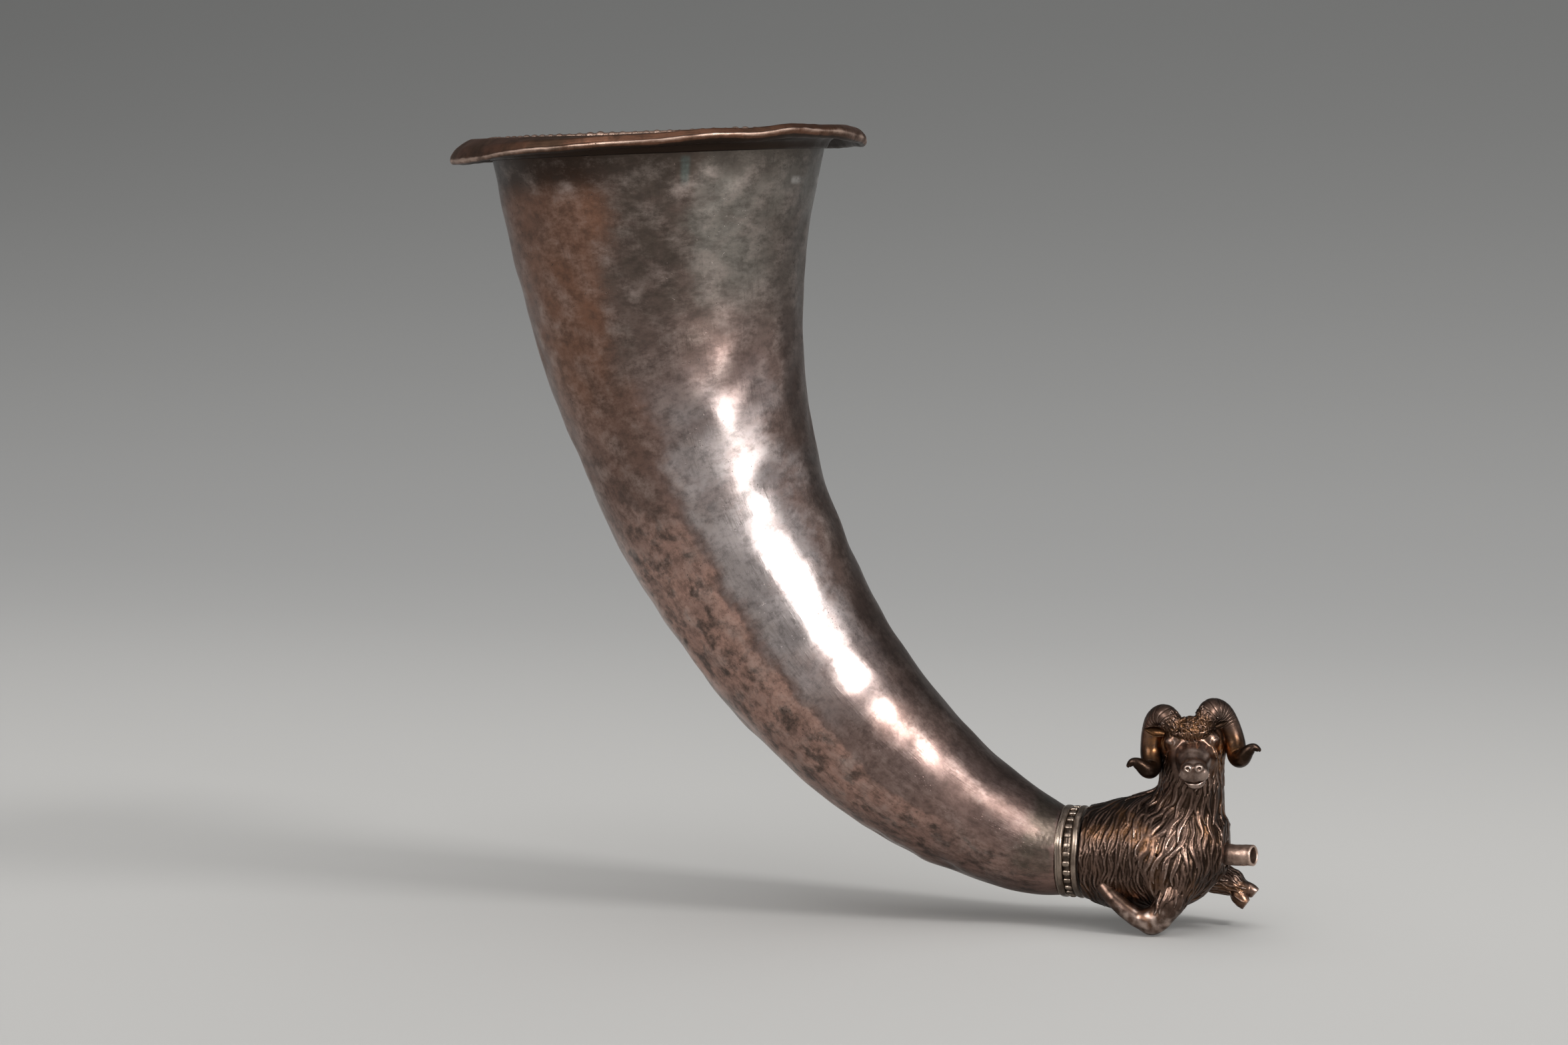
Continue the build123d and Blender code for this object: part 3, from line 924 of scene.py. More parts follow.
@dataclass
class DrinkingHorn:
    """The bent horn: a thin beaten shell from the wide mouth to the narrow throat in the collar."""

    SAMPLES = 2000
    STEP = 1e-3

    material: Material
    height: float = 212.0
    reach: float = 133.4
    drop: float = 152.0
    lean: float = 1.1
    throat_run: float = 28.0
    end_x: float = -3.5
    radii: tuple[float, ...] = (51.5, 39.6, 31.3, 24.0, 13.5)
    wall: float = 1.2
    mouth_tilt: float = 2.2
    rows: int = 310
    fine_from: float = 0.95
    fine_rows: int = 60
    inner_rows: int = 90
    inner_end: float = 0.985
    columns: int = 216
    mouth_share: float = 0.08
    still_share: float = 0.04
    solder_limits: Span = (0.968, 0.978)
    solder_side: Span = (0.5, 0.1)
    # Unevenness, here and below: size, wavelength and seed
    beaten: Waves = ((0.16, 13.0, 3), (0.30, 42.0, 5))
    solder: Waves = ((0.015, 1.6, 7), (0.04, 5.0, 8))
    # Dents: share along the horn, outward share on the near side, depth, breadth
    dents: tuple[Station, ...] = (
        (0.555, 0.97, 0.9, 6.0), (0.30, 0.99, 0.5, 9.0), (0.815, 0.93, 1.0, 4.5), (0.850, 0.95, 0.8, 4.0),
        (0.895, 0.85, 0.8, 4.5), (0.735, 0.08, 0.45, 4.0), (0.765, 0.20, 0.5, 4.0), (0.795, 0.33, 0.45, 4.0),
        (0.68, 0.35, 0.4, 6.0), (0.60, -0.25, 0.35, 7.0), (0.44, 0.30, 0.35, 8.0), (0.78, -0.55, 0.3, 5.0),
    )

    def __post_init__(self) -> None:
        """Trace the axis."""
        lean = math.radians(self.lean)
        corners = np.array(
            [
                (-self.reach, self.height),
                (-self.reach - self.drop * math.sin(lean), self.height - self.drop * math.cos(lean)),
                (self.end_x - self.throat_run, 0.0),
                (self.end_x, 0.0),
            ]
        )
        share = np.linspace(0.0, 1.0, self.SAMPLES)[:, None]
        rest = 1.0 - share
        weights = np.hstack([rest**3, 3 * rest**2 * share, 3 * rest * share**2, share**3])
        self._curve = weights @ corners
        run = np.concatenate([[0.0], np.cumsum(np.linalg.norm(np.diff(self._curve, axis=0), axis=1))])
        self.length = run[-1]
        self._run = run / self.length
        self._law = np.polyfit(np.linspace(0.0, 1.0, len(self.radii)), self.radii, len(self.radii) - 1)

    def section(self, along: Array, inset: float) -> tuple[Array, Array, Array]:
        """Middles, outward directions and radii of sections of the horn.

        Args:
            along: Shares of the way from mouth to throat.
            inset: How far inside the outer face the sections lie.

        Returns:
            Middles and directions in the XZ plane as points, and radii.
        """
        middle, ahead, behind = (
            np.stack([np.interp(along + step, self._run, column) for column in self._curve.T], axis=1)
            for step in (0.0, self.STEP, -self.STEP)
        )
        way = units(ahead - behind)
        tilt = math.radians(self.mouth_tilt)
        mouth = np.array([-math.cos(tilt), -math.sin(tilt)])
        near_mouth = ramp(along, self.mouth_share, 0.0)[:, None]
        outward = np.stack([way[:, 1], -way[:, 0]], axis=1)
        outward = units(outward * (1.0 - near_mouth) + mouth * near_mouth)
        middle, outward = (np.insert(flat, 1, 0.0, axis=1) for flat in (middle, outward))
        return middle, outward, np.polyval(self._law, along) - inset

    def _face(self, along: Array, inset: float) -> tuple[Array, dict[str, Array]]:
        """Beat one face of the shell.

        Args:
            along: Shares of the way from mouth to throat.
            inset: How far inside the outer face it lies.

        Returns:
            Rows of points round the horn, and their shares along, outward and towards the near side.
        """
        middle, outward, radius = self.section(along, inset)
        turn = full_turn(self.columns) + 0.5 * math.pi
        out, near = np.sin(turn), np.cos(turn)
        spread = out[None, :, None] * outward[:, None, :] + near[None, :, None] * np.array([0.0, -1.0, 0.0])
        flat = (middle[:, None, :] + radius[:, None, None] * spread).reshape(-1, 3)
        sink = waviness(flat, self.beaten).reshape(len(along), self.columns)
        angle = np.arctan2(out, near)
        for place, share_out, depth, breadth in self.dents:
            across = (angle - math.asin(share_out) + math.pi) % math.tau - math.pi
            far = ((along - place) * self.length)[:, None] ** 2 + (radius[:, None] * across[None, :]) ** 2
            sink += depth * np.exp(-far / (0.5 * breadth**2))
        still = self.still_share
        sink *= ramp(along, 0.0, still)[:, None] * ramp(along, 1.0, 1.0 - still)[:, None]
        solder = waviness(flat, self.solder).reshape(sink.shape)
        solder = solder * ramp(along, *self.solder_limits)[:, None] * ramp(out, *self.solder_side)
        rows = middle[:, None, :] + (radius[:, None] - sink + solder)[..., None] * spread
        values = {
            "along": np.repeat(along, self.columns),
            "out": np.tile(out, len(along)),
            "near": np.tile(near, len(along)),
        }
        return rows, values

    def build(self) -> None:
        """Make the horn."""
        coarse = np.linspace(0.0, self.fine_from, self.rows, endpoint=False)
        along = np.concatenate([coarse, np.linspace(self.fine_from, 1.0, self.fine_rows)])
        outer, outer_values = self._face(along, 0.0)
        inner, inner_values = self._face(np.linspace(self.inner_end, 0.0, self.inner_rows), self.wall)
        sheet = Sheet.loop(np.vstack([outer, inner])).mark_hollows(4.0)
        for name, values in outer_values.items():
            sheet.values[name] = np.concatenate([values, inner_values[name]])
        along = sheet.values["along"]
        plain = np.maximum(ramp(along, 0.012, 0.004), 0.8 * ramp(along, 0.955, 0.97))
        sheet.values["hollow"] = 0.5 + (sheet.values["hollow"] - 0.5) * (1.0 - plain)
        make_piece("horn_shell", sheet, self.material, ["horn_body"])


@dataclass
class MouthRim:
    """The drooping lip on the horn's mouth, bent out of true, and the beaded wire that lies on it."""

    material: Material
    horn: DrinkingHorn
    skirt_radius: float = 47.9
    land_radius: float = 54.1
    lip_radius: float = 64.5
    land_height: float = 5.0
    crest_height: float = 6.6
    edge_height: float = 0.4
    thickness: float = 2.2
    # How far the edge is bent up: degrees round the mouth from the rim's right end, and millimetres
    lifts: Pairs = (
        (0.0, 2.0), (20.0, 0.0), (60.0, -0.2), (120.0, 0.2), (180.0, -0.8), (228.0, -1.0), (250.0, 1.4),
        (270.0, 2.0), (283.0, 2.9), (297.0, 3.3), (312.0, 4.3), (330.0, 4.9), (338.0, 4.6), (347.0, 3.5),
    )
    # How far the crest is pressed down, in the same way
    sags: Pairs = (
        (0.0, 0.8), (40.0, 0.0), (140.0, 0.0), (180.0, 0.2), (225.0, 0.6), (248.0, 1.3), (270.0, 2.1),
        (310.0, 2.4), (338.0, 1.6), (352.0, 1.3),
    )
    # Two forms of the edge, out and up from its outermost place, and where the thick one stands
    thin_edge: Pairs = ((-0.9, 2.0), (-0.5, 0.9), (0.0, 0.2), (-0.2, -0.35), (-0.8, -0.55), (-2.0, -0.2))
    thick_edge: Pairs = ((-0.4, 1.9), (0.0, 0.7), (0.0, -0.2), (-0.35, -0.8), (-1.1, -1.1), (-2.0, -0.5))
    thickening: Pairs = (
        (0.0, 1.0), (15.0, 1.0), (40.0, 0.0), (140.0, 0.0), (165.0, 1.0), (215.0, 1.0), (240.0, 0.0),
        (325.0, 0.0), (345.0, 1.0),
    )
    out_waves: Waves = ((0.3, 26.0, 11), (0.05, 6.0, 12))
    up_waves: Waves = ((0.3, 34.0, 13), (0.04, 5.0, 14))
    grime: float = 0.06
    # Painted shade on the lip's turned under side, where it overhangs the horn
    shade_below_lip: float = 0.3
    # Rubbing along the edge, partly wear and partly a painted highlight
    edge_wear_and_highlight: float = 0.17
    edge_wear_and_highlight_width: float = 0.5
    edge_wear_and_highlight_waves: Waves = ((0.13, 9.0, 15),)
    columns: int = 360
    bead_ring: float = 52.2
    bead_height: float = 5.1
    bead_radius: float = 1.6
    wire_radius: float = 0.9
    beads: int = 96

    def __post_init__(self) -> None:
        """Find the plane of the mouth."""
        tilt = math.radians(self.horn.mouth_tilt)
        self._middle = np.array([-self.horn.reach, 0.0, self.horn.height])
        self._right = np.array([math.cos(tilt), 0.0, math.sin(tilt)])
        self._far = np.array([0.0, 1.0, 0.0])
        self._up = np.array([-math.sin(tilt), 0.0, math.cos(tilt)])

    def place(self, radius: Array, turn: Array, height: Array) -> Array:
        """Points of the rim, with its bend.

        Args:
            radius: Distances from the mouth's middle.
            turn: Angles from the rim's right end.
            height: Heights above the horn's edge.

        Returns:
            The points.
        """
        radius, turn, height = np.broadcast_arrays(radius, turn, height)
        share = np.clip((radius - self.land_radius) / (self.lip_radius - self.land_radius), 0.0, None)
        bend = self._around(self.lifts, turn) * share**1.3
        bend = bend - self._around(self.sags, turn) * np.clip(4.0 * share * (1.0 - share), 0.0, 1.0)
        flat = np.cos(turn)[..., None] * self._right + np.sin(turn)[..., None] * self._far
        return self._middle + radius[..., None] * flat + (height + bend)[..., None] * self._up

    def _around(self, table: Pairs, turn: Array) -> Array:
        """Smooth a table of values round the mouth.

        Args:
            table: Pairs of degrees and values.
            turn: Angles from the rim's right end.

        Returns:
            The values at the angles.
        """
        degrees, heights = np.array(table).T
        offsets = (-8.0, -4.0, 0.0, 4.0, 8.0)
        near = [np.interp(np.degrees(turn) + offset, degrees, heights, period=360.0) for offset in offsets]
        return np.mean(near, axis=0)

    def _profile(self, edge: Pairs) -> Array:
        """Draw the lip's closed outline.

        Args:
            edge: The form of its edge.

        Returns:
            Rows of radius and height.
        """
        land, lip, skirt, mouth = self.land_radius, self.lip_radius, self.skirt_radius, self.horn.radii[0]
        crest = (land + lip - self.thickness) / 2
        below = self.crest_height - self.thickness
        top = [
            (land, self.land_height),
            (land + 1.2, self.land_height + 0.9),
            (crest, self.crest_height),
            (lip - 2.2, self.crest_height - 2.0),
            *((lip + out, self.edge_height + up) for out, up in edge),
            (lip - self.thickness - 0.6, self.edge_height + 1.0),
            (crest + 1.0, below - 0.2),
            (mouth + 2.4, below - 2.4),
            (mouth + 0.6, -0.6),
        ]
        inner = [
            (skirt + 1.0, 0.0),
            (skirt, -3.0),
            (skirt - 0.4, 0.5),
            (skirt + 0.1, self.land_height - 0.4),
            (skirt + 0.8, self.land_height),
        ]
        return np.vstack([even_curve(top, 60), even_curve(inner, 24)])

    def build(self) -> None:
        """Make the lip and the beads."""
        profile, thick = self._profile(self.thin_edge), self._profile(self.thick_edge)
        turn = full_turn(self.columns)
        share = self._around(self.thickening, turn)
        radius = profile[:, :1] * (1.0 - share) + thick[:, :1] * share
        height = profile[:, 1:] * (1.0 - share) + thick[:, 1:] * share
        rows = self.place(radius, turn, height)
        flat = rows.reshape(-1, 3)
        edge = ramp(radius, self.land_radius, self.lip_radius)
        radius = radius + edge * waviness(flat, self.out_waves).reshape(radius.shape)
        height = height + edge * waviness(flat, self.up_waves).reshape(radius.shape)
        rows = self.place(radius, turn, height)
        sheet = Sheet.loop(rows).mark_hollows(0.8)
        from_edge = np.hypot(profile[:, 0] - self.lip_radius + 0.2, profile[:, 1] - self.edge_height - 0.4)
        turned_under = np.arange(len(profile)) > int(np.argmax(profile[:, 0])) + 1
        # Grime over the whole lip, and painted shade on its turned under side
        grime = self.shade_below_lip * (turned_under & (profile[:, 0] > self.horn.radii[0])) + self.grime
        # Rubbed lighter near the edge: partly wear, partly a painted highlight along it
        rubbed = np.repeat(np.exp(-((from_edge / self.edge_wear_and_highlight_width) ** 2)), self.columns)
        sheet.soil_and_shade(np.repeat(grime, self.columns) - rubbed * (self.edge_wear_and_highlight + waviness(flat, self.edge_wear_and_highlight_waves)))
        make_piece("rim_lip_beaten", sheet, self.material, ["rim_lip"])

        round_it = full_turn(12)[:, None]
        radius = self.bead_ring + self.wire_radius * np.cos(round_it)
        height = self.bead_height + self.wire_radius * np.sin(round_it)
        parts = [Sheet.loop(self.place(radius, turn, height))]
        rng = np.random.default_rng(21)
        for number in range(self.beads):
            middle = math.tau * (number + rng.uniform(-0.08, 0.08)) / self.beads
            size = self.bead_radius * rng.uniform(0.88, 1.02)
            parts.append(self._bead(middle, size, rng.uniform(-0.2, 0.12)))
        sheet = Sheet.joined([part.mark_hollows(0.8) for part in parts])
        make_piece("rim_beads_worn", sheet, self.material, ["rim_beading"])

    def _bead(self, middle: float, size: float, stand: float) -> Sheet:
        """Form one bead, rubbed a little flat on top.

        Args:
            middle: Its angle from the rim's right end.
            size: Its radius.
            stand: How far it stands above its place.

        Returns:
            Its surface.
        """
        rise = np.linspace(-0.46 * math.pi, 0.46 * math.pi, 9)[:, None]
        round_it = full_turn(14)[None, :]
        lift = size * np.sin(rise)
        lift = np.where(lift > 0.0, 0.82 * lift, lift)
        radius = self.bead_ring + size * np.cos(rise) * np.cos(round_it)
        turn = middle + size * np.cos(rise) * np.sin(round_it) / self.bead_ring
        return Sheet.loop(self.place(radius, turn, self.bead_height + stand + lift), ring=False)


@dataclass(frozen=True)
class Frame:
    """A place with three axes; the rows of axes are unit vectors."""

    origin: Array
    axes: Array

    def at(self, local: Sequence[float] | Array) -> Array:
        """One point or rows of points given along the axes, as places in the cup's frame."""
        return self.origin + np.asarray(local, float) @ self.axes

    def stroke(self, stations: Sequence[Sequence[float]]) -> Stroke:
        """A stroke through stations of three places along the axes and a radius."""
        rows = np.asarray(stations, float)
        return Stroke(self.at(rows[:, :3]), rows[:, 3])

    def ball(self, middle: Sequence[float], radii: Sequence[float]) -> Ball:
        """An ellipsoid along the axes."""
        return Ball(self.at(middle), np.asarray(radii, float), self.axes)


CUP = Frame(np.zeros(3), np.eye(3))


def lathe(profile: Array, axis: Frame, columns: int, uneven: Waves = ()) -> Sheet:
    """Turn a closed outline about a frame's first axis, a little out of true.

    Args:
        profile: Rows of place along the axis and radius.
        axis: The frame.
        columns: Points round the axis.
        uneven: Unevenness outward and along the axis.

    Returns:
        The turned surface.
    """
    heading, side, up = axis.axes
    turn = full_turn(columns)[:, None]
    spread = np.cos(turn) * side + np.sin(turn) * up
    rows = axis.origin + profile[:, :1, None] * heading + profile[:, 1:, None] * spread
    flat = rows.reshape(-1, 3)
    for wave, way in zip(uneven, (spread, heading)):
        rows = rows + waviness(flat, (wave,)).reshape(*rows.shape[:2], 1) * way
    return Sheet.loop(rows)


@dataclass
class Collar:
    """The collar over the joint of horn and ram: a sleeve, two bands and a row of squarish beads."""

    material: Material
    length: float = 6.8
    bore: float = 12.2
    sleeve_radius: float = 13.0
    band_bore: float = 13.1
    radius: float = 14.1
    rear_width: float = 2.2
    front_width: float = 1.8
    strip_height: float = 0.3
    beads: int = 29
    bead_sizes: Point = (1.15, 0.9, 0.66)
    strip_gap: float = 0.1
    strip_grime: float = 0.72
    columns: int = 240
    dome_drop: float = 0.42
    dome_power: float = 3.2
    # Fine lines cut in the rear band: shares of its width
    lines: tuple[float, ...] = (0.16, 0.34)
    line_width: float = 0.035
    line_depth: float = 0.28
    rear_waves: Waves = ((0.1, 7.0, 33), (0.1, 11.0, 34))
    front_waves: Waves = ((0.1, 7.0, 35), (0.1, 11.0, 36))

    def _ring(self, start: float, end: float, bore: float, radius: float) -> Sheet:
        """A plain ring between two places on the axis."""
        profile = np.array([(start, bore), (start, radius), (end, radius), (end, bore)])
        return lathe(profile, CUP, self.columns)

    def _band(self, start: float, width: float, lines: Sequence[float], waves: Waves) -> Sheet:
        """Form a domed band with fine lines cut into it.

        Args:
            start: Where it starts.
            width: Its width.
            lines: Shares of the width where lines are cut.
            waves: Its unevenness.

        Returns:
            Its surface.
        """
        share = np.linspace(0.0, 1.0, 41)
        dome = self.radius - self.dome_drop * np.abs(2.0 * share - 1.0) ** self.dome_power
        for line in lines:
            dome = dome - self.line_depth * np.exp(-(((share - line) / self.line_width) ** 2))
        top = np.stack([start + share * width, dome], axis=1)
        base = np.array([(start + width, self.band_bore), (start, self.band_bore)])
        return lathe(np.vstack([top, base]), CUP, self.columns, waves).mark_hollows(2.2, 1)

    def _bead(self, middle_x: float, turn: float, sizes: Array, power: float) -> Sheet:
        """Form a squarish pillow on the strip.

        Args:
            middle_x: Its place on the axis.
            turn: Its angle round the axis.
            sizes: Half sizes along, across and outward.
            power: How round it is; less is squarer.

        Returns:
            Its surface.
        """
        rise = np.linspace(-0.47 * math.pi, 0.47 * math.pi, 12)[:, None]
        round_it = full_turn(20)[None, :]

        def swell(value: Array) -> Array:
            """Square a sine or cosine off."""
            return np.sign(value) * np.abs(value) ** power

        along = sizes[0] * swell(np.cos(rise)) * swell(np.cos(round_it))
        across = sizes[1] * swell(np.cos(rise)) * swell(np.sin(round_it))
        radius = self.band_bore + self.strip_height + sizes[2] * swell(np.sin(rise))
        angle = turn + across / self.radius
        points = np.stack([middle_x + along, radius * np.cos(angle), radius * np.sin(angle)], axis=-1)
        return Sheet.loop(points, ring=False)

    def build(self) -> None:
        """Make the collar's pieces."""
        start, end = -self.length / 2, self.length / 2
        sleeve = self._ring(start, end, self.bore, self.sleeve_radius).mark_hollows(0.4)
        make_piece("collar_sleeve_plain", sleeve, self.material, ["collar_sleeve"])
        rear = self._band(start, self.rear_width, self.lines, self.rear_waves)
        make_piece("collar_rear_band_lined", rear, self.material, ["collar_rear_band"])
        front = self._band(end - self.front_width, self.front_width, (), self.front_waves)
        make_piece("collar_front_band_worn", front, self.material, ["collar_front_band"])

        strip_start = start + self.rear_width + self.strip_gap
        strip_end = end - self.front_width - self.strip_gap
        rng = np.random.default_rng(37)
        parts = []
        for number in range(self.beads):
            sizes = np.array(self.bead_sizes) * rng.uniform(0.88, 1.05, 3)
            turn = math.tau * (number + rng.uniform(-0.07, 0.07)) / self.beads
            middle_x = (strip_start + strip_end) / 2 + rng.uniform(-0.08, 0.08)
            parts.append(self._bead(middle_x, turn, sizes, rng.uniform(0.55, 0.75)))
        strip = self._ring(strip_start, strip_end, self.band_bore, self.band_bore + self.strip_height)
        strip.values["hollow"] = np.full(len(strip.points), self.strip_grime)
        sheet = Sheet.joined([strip, *(part.mark_hollows(0.7) for part in parts)])
        make_piece("collar_beads_worn", sheet, self.material, ["collar_beading"])


@dataclass
class Spout:
    """The pouring tube in the ram's chest, with the ragged solder round its root."""

    material: Material
    chest_x: float = 46.2
    height: float = 1.6
    turn: float = 15.0
    lift: float = 4.0
    stand_out: float = 9.5
    length: float = 20.0
    radius: float = 3.2
    bore: float = 2.35
    columns: int = 72
    tube_waves: Waves = ((0.05, 3.2, 41), (0.05, 4.4, 42))
    solder_place: float = -1.6
    solder_rise: float = 0.3
    solder_sizes: Span = (0.8, 0.85)
    solder_waves: Waves = ((0.4, 3.2, 43), (0.4, 4.4, 44))

    def __post_init__(self) -> None:
        """Find the tube's axis."""
        turn, lift = math.radians(self.turn), math.radians(self.lift)
        level = np.array([math.cos(turn), -math.sin(turn), 0.0])
        self.heading = math.cos(lift) * level + (0.0, 0.0, math.sin(lift))
        self.chest = np.array([self.chest_x, 0.0, self.height])
        side = unit(np.cross(self.heading, (0.0, 0.0, 1.0)))
        self._axis = Frame(self.chest, np.array([self.heading, side, np.cross(side, self.heading)]))

    def build(self) -> None:
        """Make the tube and its solder."""
        wall = self.radius - self.bore
        start, end = self.stand_out - self.length, self.stand_out - 0.4 * wall
        outer = np.stack([np.linspace(start, end, 60), np.full(60, self.radius)], axis=1)
        bend = np.linspace(0.0, math.pi, 9)[1:-1]
        half = (self.radius + self.bore) / 2
        lip = np.stack([end + 0.5 * wall * np.sin(bend), half + wall / 2 * np.cos(bend)], axis=1)
        inner = np.stack([np.linspace(end, start, 40), np.full(40, self.bore)], axis=1)
        tube = lathe(np.vstack([outer, lip, inner]), self._axis, self.columns, self.tube_waves)
        bend = full_turn(16)
        long, high = self.solder_sizes
        middle = self.radius + self.solder_rise
        bulge = np.stack([self.solder_place + long * np.cos(bend), middle + high * np.sin(bend)], axis=1)
        solder = lathe(bulge, self._axis, self.columns, self.solder_waves)
        sheet = Sheet.joined([tube.mark_hollows(1.2), solder.mark_hollows(1.2)])
        make_piece("spout_tube_worn", sheet, self.material, ["spout_tube"])


@dataclass(frozen=True)
class LockKind:
    """How one kind of lock is cut: spacings, length, strands, and how far it lifts and waves."""

    across: float
    along: float
    length: float
    strands: int
    radius: float
    lift: float
    wave: float


class Coat:
    """Locks laid over the ram's skin, each a bundle of strands that follows the lie of the fleece."""

    STEPS = 10

    def __init__(self, skin: Clay, lie: Callable[[Array], Array], seed: int) -> None:
        """Take the skin.

        Args:
            skin: The ram without its fleece.
            lie: Gives the way that the fleece lies at points.
            seed: Seed of the locks' places.
        """
        self.skin = skin
        self.lie = lie
        self.rng = np.random.default_rng(seed)
        places = skin.sheet().points
        self.places = places[self.rng.permutation(len(places))]
        self.facing = skin.slope(self.places)

    def _headings(self, points: Array, facing: Array) -> Array:
        """The lie of the fleece along the skin, where the skin faces the given ways."""
        way = self.lie(points)
        return units(way - np.einsum("ij,ij->i", way, facing)[:, None] * facing)

    def _roots(self, grows: Array, kind: LockKind) -> Array:
        """Spread locks evenly over where they grow.

        Args:
            grows: Which of the places carry this kind.
            kind: How the locks are cut.

        Returns:
            Their places.
        """
        places, facing = self.places[grows], self.facing[grows]
        heading = self._headings(places, facing)
        side = np.cross(facing, heading)
        free = np.ones(len(places), bool)
        chosen = []
        for index in range(len(places)):
            if free[index]:
                chosen.append(index)
                offset = places - places[index]
                along = offset @ heading[index] / kind.along
                across = offset @ side[index] / kind.across
                away = offset @ facing[index] / (2.0 * kind.across)
                free &= along**2 + across**2 + away**2 > 1.0
        return places[chosen]

    def locks(self, grows: Array, kind: LockKind) -> list[Stroke]:
        """Cut locks of one kind.

        Args:
            grows: Which of the places carry this kind.
            kind: How they are cut.

        Returns:
            Strokes of all strands.
        """
        place = self._roots(grows, kind)
        count = len(place)
        size = self.rng.uniform(0.8, 1.2, count)
        step = kind.length / (self.STEPS - 1) * size[:, None]
        path, facings, sides = [], [], []
        for _ in range(self.STEPS):
            facing = self.skin.slope(place)
            place = place - facing * self.skin.sample(place)[:, None]
            heading = self._headings(place, facing)
            path.append(place)
            facings.append(facing)
            sides.append(np.cross(facing, heading))
            place = place + heading * step
        path, facings, sides = np.array(path), np.array(facings), np.array(sides)

        share = np.linspace(0.0, 1.0, self.STEPS)
        swell = (0.75 + 0.25 * np.sin(math.pi * np.minimum(share / 0.75, 1.0))) * (1.0 - share**4)
        thick = np.interp(share, (0.0, 0.35, 0.7, 1.0), (0.75, 1.0, 0.85, 0.3))
        strokes = []
        for lock in range(count):
            phase = self.rng.uniform(0.0, math.tau)
            turns = self.rng.uniform(0.7, 1.2)
            sway = kind.wave * np.sin(math.tau * turns * share + phase) * (0.3 + share)
            for strand in range(kind.strands):
                place_across = strand - (kind.strands - 1) / 2
                spread = place_across * kind.radius * 1.45 * swell * size[lock] + sway
                crown = -0.25 * kind.radius * abs(place_across)
                height = crown - 0.5 * kind.radius * (1.0 - share) + kind.lift * share
                aside = sides[:, lock] * spread[:, None]
                points = path[:, lock] + aside + facings[:, lock] * height[:, None]
                radii = kind.radius * thick * size[lock] * self.rng.uniform(0.85, 1.1)
                strokes.append(Stroke(points, radii))
        return strokes


